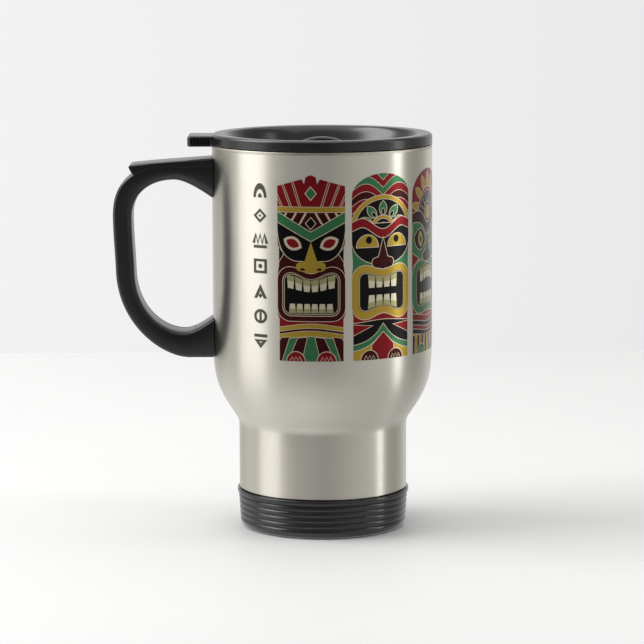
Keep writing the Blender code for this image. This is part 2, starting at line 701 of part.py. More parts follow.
def fin_outline():
    """Front view of the thumb fin: a shallow arch on the slider."""
    base = DISH_FLOOR + GAP + SLIDER_THICK - OVERLAP
    centre = FIN_TOP - FIN_ARCH_RADIUS
    points = [(-FIN_HALF_WIDTH, base), (FIN_HALF_WIDTH, base)]
    for i in range(FIN_STEPS + 1):
        x = FIN_HALF_WIDTH * (1.0 - 2.0 * i / FIN_STEPS)
        points.append((x, centre + math.sqrt(FIN_ARCH_RADIUS ** 2 - x ** 2)))
    return points


def build_slider(parent, material):
    """Sliding shutter with its thumb fin and the pin that runs in the track."""
    bottom = DISH_FLOOR + GAP
    outline = rounded_rectangle((-SLIDER_HALF_WIDTH, SLIDER_BACK),
                                (SLIDER_HALF_WIDTH, SLIDER_FRONT), SLIDER_CORNER)
    plate = flat_slab(outline, bottom, bottom + SLIDER_THICK)
    slider = add_piece("lid_slider", plate, parent, material)
    shape = [(x, 0.0, z) for x, z in fin_outline()]
    fin = extruded(shape, (0.0, 1.0, 0.0), FIN_Y - FIN_THICK / 2, FIN_Y + FIN_THICK / 2)
    pin_bottom = DISH_FLOOR - FLOOR_THICK - GAP - CLIP_THICK - PIN_REACH
    pin = disc(STEM_PIN_RADIUS, pin_bottom, bottom + OVERLAP, SMALL_SEGMENTS)
    combine(slider, "UNION", add_cutter("fin", fin, parent), add_cutter("pin", pin, parent))
    low, high = seal_plan(GAP)
    pocket = rounded_rectangle(low, high, SEAL_CORNER + GAP)
    recess = flat_slab(pocket, bottom - MM, bottom + SEAL_THICK + GAP)
    combine(slider, "DIFFERENCE", add_cutter("seal_pocket", recess, parent))


def seal_plan(grow):
    """Corners of the silicone pad that covers the drinking hole."""
    half_x = DRINK_HOLE_SIZE[0] / 2 + SEAL_MARGIN[0] + grow
    half_y = DRINK_HOLE_SIZE[1] / 2 + SEAL_MARGIN[1] + grow
    return (-half_x, DRINK_HOLE_Y - half_y), (half_x, DRINK_HOLE_Y + half_y)


def build_slider_seal(parent, material):
    bottom = DISH_FLOOR + GAP
    outline = rounded_rectangle(*seal_plan(0.0), SEAL_CORNER)
    pad = flat_slab(outline, bottom, bottom + SEAL_THICK)
    add_piece("slider_seal", pad, parent, material)


def build_slider_clip(parent, material):
    """Push-on disc that holds the slider from under the lid."""
    top = DISH_FLOOR - FLOOR_THICK - GAP
    clip = ring(STEM_PIN_RADIUS + GAP, CLIP_RADIUS, top - CLIP_THICK, top, SMALL_SEGMENTS)
    add_piece("slider_clip", clip, parent, material)


def build_body(parent, finishes):
    build_outer_shell(parent, finishes["brushed_steel"])
    build_inner_liner(parent, finishes["plain_steel"])
    build_bottom_plate(parent, finishes["plain_steel"])
    build_base_cup(parent, finishes["black_plastic"])
    build_base_pad(parent, finishes["foot_rubber"])


def build_handle_group(parent, finishes):
    steel = finishes["plain_steel"]
    plastic = finishes["black_plastic"]
    trim = body_clearance(parent)
    upper = arm_levels(True)
    lower = arm_levels(False)
    build_handle_body(upper, lower, trim, parent, plastic)
    build_handle_insert(parent, plastic)
    build_thumb_rest(trim, parent, plastic)
    build_screw_plug(lower, parent, plastic)
    for side, level in (("upper", upper), ("lower", lower)):
        build_bracket(side + "_bracket", level, parent, steel, trim)
        build_screw(side + "_screw", level, parent, steel)
        build_washer(side + "_washer", level, parent, steel)


def build_lid_group(mug, finishes):
    """The lid lifts and turns about the mug's axis, and the slider runs in the lid."""
    lift_axis = add_empty("lid_lift_axis", (0.0, 0.0, LID_SEAT), mug)
    twist_axis = add_empty("lid_twist_axis", (0.0, 0.0, 0.0), lift_axis)
    slide_axis = add_empty("slider_axis", (0.0, 0.0, 0.0), twist_axis)
    build_gasket(lift_axis, finishes["grey_silicone"])
    build_lid(twist_axis, finishes["lid_plastic"])
    build_slider(slide_axis, finishes["lid_plastic"])
    build_slider_seal(slide_axis, finishes["grey_silicone"])
    build_slider_clip(slide_axis, finishes["lid_plastic"])


def main():
    clear_scene()
    finishes = make_finishes()
    mug = add_empty("mug", (0.0, 0.0, 0.0))
    build_body(mug, finishes)
    build_handle_group(mug, finishes)
    build_lid_group(mug, finishes)


main()
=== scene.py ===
import math

import bmesh
import bpy
from mathutils import Euler, Matrix, Vector
from mathutils.geometry import delaunay_2d_cdt


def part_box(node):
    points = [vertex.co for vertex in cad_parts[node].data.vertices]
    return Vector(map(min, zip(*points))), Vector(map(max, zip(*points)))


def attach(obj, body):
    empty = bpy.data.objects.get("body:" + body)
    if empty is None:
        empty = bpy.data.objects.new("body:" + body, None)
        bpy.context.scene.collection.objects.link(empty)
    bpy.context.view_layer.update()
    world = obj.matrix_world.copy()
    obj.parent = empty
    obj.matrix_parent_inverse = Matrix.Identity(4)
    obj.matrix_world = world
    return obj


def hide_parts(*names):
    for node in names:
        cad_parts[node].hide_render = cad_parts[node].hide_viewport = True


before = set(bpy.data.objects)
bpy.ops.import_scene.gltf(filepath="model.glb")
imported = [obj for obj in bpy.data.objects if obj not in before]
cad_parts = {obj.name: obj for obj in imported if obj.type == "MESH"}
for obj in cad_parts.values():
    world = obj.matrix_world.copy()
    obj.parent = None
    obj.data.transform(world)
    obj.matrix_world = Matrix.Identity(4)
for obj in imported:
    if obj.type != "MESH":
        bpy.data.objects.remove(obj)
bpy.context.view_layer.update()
scene = bpy.context.scene
mm = 0.001


def topOf(node):
    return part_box(node)[1].z / mm


def bottomOf(node):
    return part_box(node)[0].z / mm


# small helpers for nodes and colours

def linearColour(hexText):
    # screen colour to the linear values that shaders take
    channels = [int(hexText[i:i + 2], 16) / 255 for i in (1, 3, 5)]
    linear = [c / 12.92 if c <= 0.04045 else ((c + 0.055) / 1.055) ** 2.4 for c in channels]
    return (*linear, 1.0)


def setInputs(tree, node, inputs):
    # an input is either a socket to link or a value to set
    for socket, value in inputs.items():
        if isinstance(value, bpy.types.NodeSocket):
            tree.links.new(value, node.inputs[socket])
        else:
            node.inputs[socket].default_value = value


def addNode(tree, kind, settings=None, inputs=None):
    node = tree.nodes.new(kind)
    for name, value in (settings or {}).items():
        setattr(node, name, value)
    setInputs(tree, node, inputs or {})
    return node


def startMaterial(name, values):
    material = bpy.data.materials.new(name)
    material.use_nodes = True
    shader = material.node_tree.nodes["Principled BSDF"]
    setInputs(material.node_tree, shader, values)
    return material, material.node_tree, shader


def unrolledPlace(tree, around, up):
    # position on a turned surface: millimetres round it over `around`, millimetres up it over `up`
    position = addNode(tree, "ShaderNodeTexCoord").outputs["Object"]
    split = addNode(tree, "ShaderNodeSeparateXYZ", inputs={"Vector": position})
    angle = addNode(tree, "ShaderNodeMath", {"operation": "ARCTAN2"},
                    {0: split.outputs["Y"], 1: split.outputs["X"]})
    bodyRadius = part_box("outer_shell")[1].x / mm
    turned = addNode(tree, "ShaderNodeMath", {"operation": "MULTIPLY"},
                     {0: angle.outputs[0], 1: bodyRadius / around})
    height = addNode(tree, "ShaderNodeMath", {"operation": "MULTIPLY"},
                     {0: split.outputs["Z"], 1: 1.0 / (up * mm)})
    joined = addNode(tree, "ShaderNodeCombineXYZ",
                     inputs={"X": turned.outputs[0], "Z": height.outputs[0]})
    return joined.outputs["Vector"]


# finishes

acrossScratches = 0.25        # quarter turn: light spreads across the scratches
colourMix = {"data_type": "RGBA"}


def makeBrushedSteel():
    # 304 stainless steel, brushed round the body with a belt: the scratches run sideways,
    # so lamps smear into upright bands with crisp sides
    material, tree, shader = startMaterial("brushedStainlessSteel", {
        "Metallic": 1.0, "Anisotropic": 0.88, "Anisotropic Rotation": acrossScratches})
    # belt scratches are 0.05 mm wide and can't show at this size, so they are drawn 0.45 mm wide
    scratches = addNode(tree, "ShaderNodeTexNoise", inputs={
        "Vector": unrolledPlace(tree, 22.0, 0.45), "Scale": 1.0, "Detail": 3.0, "Roughness": 0.6})
    bands = addNode(tree, "ShaderNodeTexNoise", inputs={
        "Vector": unrolledPlace(tree, 60.0, 5.0), "Scale": 1.0, "Detail": 1.0})
    shade = addNode(tree, "ShaderNodeMath", {"operation": "MULTIPLY_ADD"},
                    {0: scratches.outputs["Fac"], 1: 0.6, 2: 0.2})
    colour = addNode(tree, "ShaderNodeMix", colourMix, {
        "Factor": shade.outputs[0], 6: linearColour("#c8c4b9"), 7: linearColour("#d9d6cd")})
    haze = addNode(tree, "ShaderNodeMapRange", inputs={"Value": bands.outputs["Fac"], 3: 0.34, 4: 0.40})
    bump = addNode(tree, "ShaderNodeBump", inputs={
        "Height": scratches.outputs["Fac"], "Strength": 0.25, "Distance": 0.006 * mm})
    sideways = addNode(tree, "ShaderNodeTangent", {"direction_type": "RADIAL", "axis": "Z"})
    setInputs(tree, shader, {
        "Base Color": colour.outputs[2], "Roughness": haze.outputs["Result"],
        "Normal": bump.outputs["Normal"], "Tangent": sideways.outputs["Tangent"]})
    return material


def makePlainSteel(name, light, dark, roughness):
    # deep-drawn or zinc-plated steel left as it comes from the press: even, a little cloudy
    material, tree, shader = startMaterial(name, {"Metallic": 1.0})
    position = addNode(tree, "ShaderNodeTexCoord").outputs["Object"]
    cloud = addNode(tree, "ShaderNodeTexNoise", inputs={
        "Vector": position, "Scale": 1.0 / (6.0 * mm), "Detail": 2.0})
    colour = addNode(tree, "ShaderNodeMix", colourMix, {
        "Factor": cloud.outputs["Fac"], 6: linearColour(dark), 7: linearColour(light)})
    haze = addNode(tree, "ShaderNodeMapRange", inputs={
        "Value": cloud.outputs["Fac"], 3: roughness - 0.04, 4: roughness + 0.04})
    setInputs(tree, shader, {"Base Color": colour.outputs[2], "Roughness": haze.outputs["Result"]})
    return material


def makePlastic(name, colours, roughness, grainSize, grainDepth):
    # moulded in a spark-eroded tool: a fine even grain, in mm, that breaks up the shine
    material, tree, shader = startMaterial(name, {"IOR": 1.55})
    position = addNode(tree, "ShaderNodeTexCoord").outputs["Object"]
    grain = addNode(tree, "ShaderNodeTexNoise", inputs={
        "Vector": position, "Scale": 1.0 / (grainSize * mm), "Detail": 2.0, "Roughness": 0.55})
    flow = addNode(tree, "ShaderNodeTexNoise", inputs={
        "Vector": position, "Scale": 1.0 / (18.0 * mm), "Detail": 1.0})
    colour = addNode(tree, "ShaderNodeMix", colourMix, {
        "Factor": flow.outputs["Fac"], 6: linearColour(colours[0]), 7: linearColour(colours[1])})
    haze = addNode(tree, "ShaderNodeMapRange", inputs={
        "Value": grain.outputs["Fac"], 3: roughness - 0.06, 4: roughness + 0.06})
    bump = addNode(tree, "ShaderNodeBump", inputs={
        "Height": grain.outputs["Fac"], "Strength": 0.5, "Distance": grainDepth * mm})
    setInputs(tree, shader, {"Base Color": colour.outputs[2], "Roughness": haze.outputs["Result"],
                             "Normal": bump.outputs["Normal"]})
    return material


def makeInk(name, colour):
    # clear dye fixed into a thin varnish: the brushed steel under it glints through the colour
    material, tree, shader = startMaterial(name, {
        "Metallic": 1.0, "Anisotropic": 0.8, "Anisotropic Rotation": acrossScratches,
        "Coat Weight": 0.25, "Coat Roughness": 0.3})
    scratches = addNode(tree, "ShaderNodeTexNoise", inputs={
        "Vector": unrolledPlace(tree, 14.0, 0.5), "Scale": 1.0, "Detail": 2.0})
    hue = linearColour(colour)
    shaded = [channel * 0.86 for channel in hue[:3]]
    mix = addNode(tree, "ShaderNodeMix", colourMix, {
        "Factor": scratches.outputs["Fac"], 6: (*shaded, 1.0), 7: hue})
    haze = addNode(tree, "ShaderNodeMapRange", inputs={
        "Value": scratches.outputs["Fac"], 3: 0.36, 4: 0.42})
    sideways = addNode(tree, "ShaderNodeTangent", {"direction_type": "RADIAL", "axis": "Z"})
    setInputs(tree, shader, {
        "Base Color": mix.outputs[2], "Roughness": haze.outputs["Result"],
        "Tangent": sideways.outputs["Tangent"]})
    return material


brushedSteel = makeBrushedSteel()
drawnSteel = makePlainSteel("drawnStainlessSteel", "#cfcabd", "#bdb8ab", 0.38)
zincSteel = makePlainSteel("zincPlatedSteel", "#c4c6c8", "#a9abae", 0.30)
handlePlastic = makePlastic("mouldedBlackPolypropylene", ("#151517", "#191a1b"), 0.28, 0.45, 0.010)
basePlastic = makePlastic("mouldedCharcoalPolypropylene", ("#1d1e1f", "#232425"), 0.20, 0.45, 0.010)
lidPlastic = makePlastic("satinCharcoalPolypropylene", ("#1b1c1d", "#202122"), 0.25, 0.5, 0.004)
greySilicone = makePlastic("mouldedGreySilicone", ("#55565a", "#5e5f63"), 0.58, 0.6, 0.01)
footRubber = makePlastic("mattBlackRubber", ("#131313", "#191919"), 0.72, 0.8, 0.03)
print("finishes made")


# mesh helpers, all in millimetres

def bezier(start, lead, follow, end, steps):
    # points of a cubic curve, without its last one
    points = []
    for i in range(steps):
        t = i / steps
        weights = ((1 - t) ** 3, 3 * (1 - t) ** 2 * t, 3 * (1 - t) * t ** 2, t ** 3)
        corners = (start, lead, follow, end)
        points.append(tuple(sum(w * p[axis] for w, p in zip(weights, corners)) for axis in (0, 1)))
    return points


def arc(centre, radiusAcross, radiusUp, first, last, steps):
    points = []
    for i in range(steps + 1):
        angle = math.radians(first + (last - first) * i / steps)
        points.append((centre[0] + radiusAcross * math.cos(angle),
                       centre[1] + radiusUp * math.sin(angle)))
    return points


def makePiece(name, points, faces, material, sharpAngle=30.0):
    mesh = bpy.data.meshes.new(name)
    mesh.from_pydata([tuple(c * mm for c in p) for p in points], [], faces)
    shape = bmesh.new()
    shape.from_mesh(mesh)
    bmesh.ops.remove_doubles(shape, verts=shape.verts[:], dist=1e-8)
    bmesh.ops.recalc_face_normals(shape, faces=shape.faces[:])
    shape.to_mesh(mesh)
    shape.free()
    return linkPiece(name, mesh, material, sharpAngle)


def linkPiece(name, mesh, material, sharpAngle):
    mesh.shade_smooth()
    mesh.set_sharp_from_angle(angle=math.radians(sharpAngle))
    piece = bpy.data.objects.new(name, mesh)
    scene.collection.objects.link(piece)
    if material:
        mesh.materials.append(material)
    return piece


def turnedPiece(name, profile, material, segments=256, centre=(0.0, 0.0), sharpAngle=30.0):
    # spins a closed (radius, height) profile round an upright axis
    points = []
    rings = []
    for radius, height in profile:
        if radius < 1e-6:
            rings.append([len(points)] * segments)
            points.append((centre[0], centre[1], height))
            continue
        rings.append(list(range(len(points), len(points) + segments)))
        for i in range(segments):
            angle = math.tau * i / segments
            points.append((centre[0] + radius * math.cos(angle),
                           centre[1] + radius * math.sin(angle), height))
    faces = []
    for ring, after in zip(rings, rings[1:] + rings[:1]):
        for i in range(segments):
            j = (i + 1) % segments
            corners = list(dict.fromkeys((ring[i], ring[j], after[j], after[i])))
            if len(corners) > 2:
                faces.append(corners)
    return makePiece(name, points, faces, material, sharpAngle)


def roundCutter(radius, low, high, segments=256, centre=(0.0, 0.0)):
    profile = [(0.0, high), (radius, high), (radius, low), (0.0, low)]
    return turnedPiece("cut", profile, None, segments, centre)


def joinedRows(name, rows, material, sharpAngle=30.0):
    # skins a row of matching sections, with both ends closed
    size = len(rows[0])
    points = [point for row in rows for point in row]
    faces = [list(range(size)), list(range((len(rows) - 1) * size, len(rows) * size))]
    for r in range(len(rows) - 1):
        for i in range(size):
            j = (i + 1) % size
            faces.append([r * size + i, r * size + j, (r + 1) * size + j, (r + 1) * size + i])
    return makePiece(name, points, faces, material, sharpAngle)


def slabPiece(name, outline, bottom, top, edge, material, steps=3):
    # an upright slab over an (x, y) outline, with its upper and lower edges rounded
    levels = []
    for i in range(steps + 1):
        angle = math.radians(90.0 * i / steps)
        levels.append((edge * (1 - math.sin(angle)), bottom + edge * (1 - math.cos(angle))))
    for i in range(steps + 1):
        angle = math.radians(90.0 * i / steps)
        levels.append((edge * (1 - math.cos(angle)), top - edge * (1 - math.sin(angle))))
    rows = [[(x, y, height) for x, y in movedIn(outline, inset)] for inset, height in levels]
    return joinedRows(name, rows, material)


def movedIn(outline, inset):
    # the outline with every side moved in by inset
    area = sum(a[0] * b[1] - b[0] * a[1] for a, b in zip(outline, outline[1:] + outline[:1]))
    turn = 1.0 if area > 0 else -1.0
    moved = []
    for i, point in enumerate(outline):
        before = Vector(point) - Vector(outline[i - 1])
        after = Vector(outline[(i + 1) % len(outline)]) - Vector(point)
        first = Vector((-before.y, before.x)).normalized() * turn
        second = Vector((-after.y, after.x)).normalized() * turn
        mitre = (first + second).normalized()
        reach = inset / max(mitre.dot(first), 0.35)
        moved.append((point[0] + mitre.x * reach, point[1] + mitre.y * reach))
    return moved


def roundedRectangle(low, high, radius, steps=8):
    corners = (((high[0] - radius, high[1] - radius), 0), ((low[0] + radius, high[1] - radius), 90),
               ((low[0] + radius, low[1] + radius), 180), ((high[0] - radius, low[1] + radius), 270))
    points = []
    for centre, first in corners:
        points += arc(centre, radius, radius, first, first + 90, steps)
    return points


def shapeWith(piece, operation, *others):
    # applies exact Booleans and throws the helper shapes away
    for other in others:
        boolean = piece.modifiers.new(other.name, "BOOLEAN")
        boolean.operation = operation
        boolean.solver = "EXACT"
        boolean.object = other
    graph = bpy.context.evaluated_depsgraph_get()
    shaped = bpy.data.meshes.new_from_object(piece.evaluated_get(graph))
    piece.modifiers.clear()
    piece.data = shaped
    shaped.shade_smooth()
    shaped.set_sharp_from_angle(angle=math.radians(30.0))
    for other in others:
        bpy.data.objects.remove(other)


def place(piece, body, slot, *nodes):
    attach(piece, body)
    if nodes:
        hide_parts(*nodes)


# steel body

steelBody = {
    "radius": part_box("outer_shell")[1].x / mm,
    "stemRadius": 33.0,
    "neckRadius": 31.2,
    "wall": 0.6,
    "wallSpace": 3.6,         # outer wall's outside to the liner's outside
    "taperTop": 76.0,
    "shoulderLeads": (61.0, (42.6, 56.5)),
    "knee": (34.83, 45.3),
    "stemLeads": ((33.7, 43.7), (33.0, 42.6)),
    "taperFoot": 40.5,
    "neckTop": topOf("base_cup") + 0.3,
    "neckStep": 0.3,
    "bottom": bottomOf("outer_shell"),
    "footOpening": 27.0,
    "rimTop": topOf("inner_liner"),
    "rimThick": 1.1,
    "rimSeam": 0.04,          # hairline gap under the liner's rim, above the outer wall
    "rimRoll": 0.42,
    "mouthRound": 0.8,
    "linerFloor": bottomOf("inner_liner"),
    "linerCorner": 6.0,
    "printDepth": 0.06,       # the print's skin stands this far out of the steel
}


def bodySide(inset):
    # outside of the body from its shoulder to its stem, moved in by inset
    radius = steelBody["radius"]
    shoulder = (radius, steelBody["taperTop"])
    stem = (steelBody["stemRadius"], steelBody["taperFoot"])
    knee = steelBody["knee"]
    straightDown, intoKnee = steelBody["shoulderLeads"]
    points = bezier(shoulder, (radius, straightDown), intoKnee, knee, 28)
    points += bezier(knee, *steelBody["stemLeads"], stem, 12)
    points.append(stem)
    return [(across - inset, height) for across, height in points]


def makeSteelShell():
    skin = steelBody["printDepth"]
    wall = steelBody["wall"]
    neck = steelBody["neckRadius"]
    bottom = steelBody["bottom"]
    stem = steelBody["stemRadius"]
    opening = steelBody["footOpening"]
    joint = steelBody["rimTop"] - steelBody["rimThick"] - steelBody["rimSeam"]
    step = steelBody["neckTop"]
    stepTop = step + steelBody["neckStep"]
    outside = [(steelBody["radius"] - skin, joint)]
    outside += bodySide(skin)
    outside += [(stem - skin, stepTop), (neck, step), (neck, bottom)]
    inside = [(opening, bottom), (opening, bottom + wall), (neck - wall, bottom + wall)]
    inside += [(neck - wall, step + wall), (stem - wall, stepTop + wall)]
    inside += reversed(bodySide(wall))
    inside.append((steelBody["radius"] - wall, joint))
    shell = turnedPiece("steelShell", outside + inside, brushedSteel)
    place(shell, "mug", "brushed_steel", "outer_shell")


def makeSteelLiner():
    skin = steelBody["printDepth"]
    wall = steelBody["wall"]
    top = steelBody["rimTop"]
    under = top - steelBody["rimThick"]
    outer = steelBody["radius"] - steelBody["wallSpace"]
    roll = steelBody["rimRoll"]
    mouth = steelBody["mouthRound"]
    edge = steelBody["radius"] - skin
    profile = [(edge, under), (outer, under)]
    for inset in (steelBody["wallSpace"], steelBody["wallSpace"] + wall):
        depth = inset - steelBody["wallSpace"]
        floor = steelBody["linerFloor"] + depth
        corner = steelBody["linerCorner"] - depth
        bend = (steelBody["stemRadius"] - inset - corner, floor + corner)
        side = bodySide(inset) + arc(bend, corner, corner, 0, -90, 12) + [(0.0, floor)]
        profile += side if not depth else side[::-1]
    profile += [(outer - wall, top - mouth)]
    profile += arc((outer - wall + mouth, top - mouth), mouth, mouth, 180, 90, 6)
    profile += arc((edge - roll, top - roll), roll, roll, 90, 0, 6)
    liner = turnedPiece("steelLiner", profile, drawnSteel)
    place(liner, "mug", "plain_steel", "inner_liner")


makeSteelShell()
makeSteelLiner()
print("steel body made")


# base

baseCup = {
    "top": topOf("base_cup"),
    "bottom": bottomOf("base_cup"),
    "flangeRadius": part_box("base_cup")[1].x / mm,
    "flangeSoft": 0.45,
    "flangeUnder": 0.3,
    "flangeStraight": 1.45,
    "firstGroove": 2.0,
    "ribRadius": 33.25,
    "footRadius": 32.5,
    "ribPitch": 2.3,
    "ribs": 5,
    "grooveDepth": 0.42,
    "ribBevel": 0.40,         # flat upper corner of each rib, which catches the lamps
    "ribSoft": 0.34,
    "footSoft": 1.2,
    "innerRadius": 31.5,
    "floorTop": 2.7,
    "padRadius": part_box("base_pad")[1].x / mm,
    "padTop": topOf("base_pad"),
    "padPlay": 0.3,
    "padSoft": 0.4,
    "padGrooves": 6,
}


def makeBaseCup():
    top = baseCup["top"]
    bottom = baseCup["bottom"]
    flange = baseCup["flangeRadius"]
    profile = [(baseCup["innerRadius"], top)]
    soft = baseCup["flangeSoft"]
    under = baseCup["flangeUnder"]
    profile += arc((flange - soft, top - soft), soft, soft, 90, 0, 5)
    profile += arc((flange - under, top - baseCup["flangeStraight"]), under, under, 0, -90, 4)
    first = top - baseCup["firstGroove"]
    ribSoft = baseCup["ribSoft"]
    pitch = baseCup["ribPitch"]
    for i in range(baseCup["ribs"]):
        lean = (baseCup["ribRadius"] - baseCup["footRadius"]) * i / baseCup["ribs"]
        crest = baseCup["ribRadius"] - lean
        groove = crest - baseCup["grooveDepth"]
        height = first - i * pitch
        profile += [(groove, height + 0.12), (groove, height - 0.3)]
        bevelTop = height - 0.32
        profile += [(groove + 0.02, bevelTop), (crest - 0.03, bevelTop - baseCup["ribBevel"]),
                    (crest, bevelTop - baseCup["ribBevel"] - 0.1)]
        profile += arc((crest - ribSoft, height - pitch + 0.5), ribSoft, ribSoft, 0, -80, 4)
    foot = baseCup["footRadius"]
    soft = baseCup["footSoft"]
    profile += arc((foot - 1.5, bottom + soft), soft, soft, 0, -90, 6)
    pad = baseCup["padRadius"] + baseCup["padPlay"]
    recess = baseCup["padTop"] + baseCup["padPlay"]
    profile += [(pad, bottom), (pad, recess), (0.0, recess)]
    profile += [(0.0, baseCup["floorTop"]), (baseCup["innerRadius"], baseCup["floorTop"])]
    cup = turnedPiece("ribbedBaseCup", profile, basePlastic)
    place(cup, "mug", "black_plastic", "base_cup")


def makeFootPad():
    # grooves turned into its underside keep it from sliding
    radius = baseCup["padRadius"]
    profile = [(0.0, baseCup["padTop"]), (radius, baseCup["padTop"])]
    soft = baseCup["padSoft"]
    profile += arc((radius - soft, soft), soft, soft, 0, -90, 4)
    spacing = (radius - 4.0) / baseCup["padGrooves"]
    for i in range(baseCup["padGrooves"]):
        middle = radius - 2.5 - i * spacing
        profile += [(middle + 0.6, 0.0), (middle + 0.35, 0.45), (middle - 0.35, 0.45)]
        profile.append((middle - 0.6, 0.0))
    profile.append((0.0, 0.0))
    pad = turnedPiece("footPad", profile, footRubber, 192)
    place(pad, "mug", "foot_rubber", "base_pad")


makeBaseCup()
makeFootPad()
print("base made")


# handle

handle = {
    "root": -41.0,            # runs into the body, then is trimmed back to it
    "halfWidth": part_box("handle_body")[1].y / mm,
    "armTop": 143.35,
    "armBottom": bottomOf("handle_body"),
    "outerEdge": 1.5,
    "fingerEdge": 2.0,
    "rootFlare": (4.6, 3.0),  # wide soft edge under the upper arm: its depth, and its width
    "stretches": 6,           # sections along each stretch of the loop
    "insertFirst": 8,
    "insertLast": 24,
    "insertDepth": 1.4,
    "insertHalfWidth": 5.7,
    "insertClear": 0.2,       # share of a section left open at the strip's two ends
    "screwPlay": 0.2,
    "wellDepths": (3.8, 8.0),     # under the screw's head, and at the end of its hole
    "screwX": -50.0,
    "headRadius": 3.5,
    "shankRadius": 1.8,
    "trimRadius": steelBody["radius"] + 0.15,
    "trimHeights": (60.0, 160.0),
    "thumbTip": (-75.0, 142.5),
    "thumbStretches": 6,
    "thumbLap": 1.2,
}


def handleOutside():
    fine = handle["stretches"]
    top = handle["armTop"]
    low = handle["armBottom"]
    shoulder = (-58.0, top - 0.05)
    barTop = (-81.4, 123.0)
    barFoot = (-80.5, 102.0)
    heel = (-52.0, low)
    root = handle["root"]
    third = (shoulder[0] - root) / 3
    points = bezier((root, top), (root + third, top), (root + 2 * third, top), shoulder, 3 * fine)
    points += bezier(shoulder, (-77.2, 142.9), (-81.4, 133.8), barTop, 9 * fine)
    points += bezier(barTop, (-81.4, 116.0), (-80.7, 109.0), barFoot, 2 * fine)
    points += bezier(barFoot, (-80.0, 80.0), (-62.2, low), heel, 9 * fine)
    points += bezier(heel, (-48.5, low), (-45.0, low), (root, low), 3 * fine)
    return points + [(root, low)]


def handleInside():
    fine = handle["stretches"]
    root = handle["root"]
    crown = (-57.5, 137.4)
    barTop = (-74.1, 122.5)
    barFoot = (-73.2, 101.0)
    sole = (-54.0, 77.7)
    last = (root, 84.4)
    points = bezier((root, 128.9), (-46.0, 132.6), (-53.0, 137.4), crown, 3 * fine)
    points += bezier(crown, (-66.4, 137.4), (-74.1, 132.4), barTop, 9 * fine)
    points += bezier(barTop, (-74.1, 115.5), (-73.4, 108.0), barFoot, 2 * fine)
    points += bezier(barFoot, (-72.9, 85.8), (-62.5, 77.7), sole, 9 * fine)
    points += bezier(sole, (-50.0, 77.7), (-45.2, 81.4), last, 3 * fine)
    return points + [last]


def loopSection(inner, outer, near, far, halfWidth, innerEdge, outerEdge, grow=0.0):
    # one slice across the loop, with each edge rounded over (depth, width)
    start = Vector((inner[0], 0.0, inner[1]))
    across = Vector((outer[0], 0.0, outer[1])) - start
    high = (across.length if far is None else far) + grow
    across.normalize()
    deep, wide = innerEdge
    corners = (
        ((near + deep, halfWidth - wide), deep, wide, 180),
        ((high - outerEdge, halfWidth - outerEdge), outerEdge, outerEdge, 90),
        ((high - outerEdge, outerEdge - halfWidth), outerEdge, outerEdge, 0),
        ((near + deep, wide - halfWidth), deep, wide, -90),
    )
    points = []
    for centre, byDepth, byWidth, first in corners:
        for depth, side in arc(centre, byDepth, byWidth, first, first - 90, 5):
            points.append(tuple(start + across * depth + Vector((0.0, side, 0.0))))
    return points


def partWay(pair, following, share):
    return [(x + (nextX - x) * share, z + (nextZ - z) * share)
            for (x, z), (nextX, nextZ) in zip(pair, following)]


def loopPiece(name, first, last, near, far, halfWidth, edges, material, grow=0.0, clear=0.0):
    # clear is the share of a step left open at both ends
    pairs = list(zip(handleInside(), handleOutside()))[first:last]
    pairs[0] = partWay(pairs[0], pairs[1], clear)
    pairs[-1] = partWay(pairs[-1], pairs[-2], clear)
    rows = []
    for index, (inner, outer) in enumerate(pairs):
        innerEdge, outerEdge = edges(index)
        rows.append(loopSection(inner, outer, near, far, halfWidth, innerEdge, outerEdge, grow))
    return joinedRows(name, rows, material, 40.0)


def handleEdges(index):
    # the finger side's edge opens out into a soft flare where the upper arm meets the body
    plain = handle["fingerEdge"]
    flare = max(0.0, 1.0 - index / (3.4 * handle["stretches"])) ** 1.3
    deep = plain + (handle["rootFlare"][0] - plain) * flare
    wide = plain + (handle["rootFlare"][1] - plain) * flare
    return (deep, wide), handle["outerEdge"]


def trimToBody(piece):
    shapeWith(piece, "DIFFERENCE", roundCutter(handle["trimRadius"], *handle["trimHeights"]))


def makeHandle():
    fine = handle["stretches"]
    body = loopPiece("handleLoop", 0, None, 0.0, None, handle["halfWidth"], handleEdges,
                     handlePlastic)
    channel = loopPiece("insertChannel", handle["insertFirst"] * fine,
                        handle["insertLast"] * fine + 1, -2.0, handle["insertDepth"] + 0.2,
                        handle["insertHalfWidth"] + 0.12, lambda index: ((0.3, 0.3), 0.3), None)
    screwPlace = (handle["screwX"], 0.0)
    seat, end = handle["wellDepths"]
    wide = handle["headRadius"] + handle["screwPlay"]
    narrow = handle["shankRadius"] + handle["screwPlay"]
    wells = []
    for face, into in ((handle["armTop"], -1.0), (handle["armBottom"], 1.0)):
        steps = [(0.0, face - into), (wide, face - into), (wide, face + seat * into)]
        steps += [(narrow, face + seat * into), (narrow, face + end * into), (0.0, face + end * into)]
        wells.append(turnedPiece("screwWell", steps, None, 64, screwPlace))
    trimToBody(body)
    shapeWith(body, "DIFFERENCE", channel, *wells)
    place(body, "mug", "black_plastic", "handle_body")


def makeHandleInsert():
    fine = handle["stretches"]
    strip = loopPiece("fingerInsert", handle["insertFirst"] * fine,
                      handle["insertLast"] * fine + 1, 0.0, handle["insertDepth"],
                      handle["insertHalfWidth"], lambda index: ((0.5, 0.9), 0.4), handlePlastic,
                      clear=handle["insertClear"])
    place(strip, "mug", "black_plastic", "handle_insert")


def heightAt(line, x):
    # height of an (x, z) line that runs towards -X
    for (x0, z0), (x1, z1) in zip(line, line[1:]):
        if x1 <= x <= x0:
            return z0 + (z1 - z0) * (x0 - x) / (x0 - x1)
    return line[-1][1]


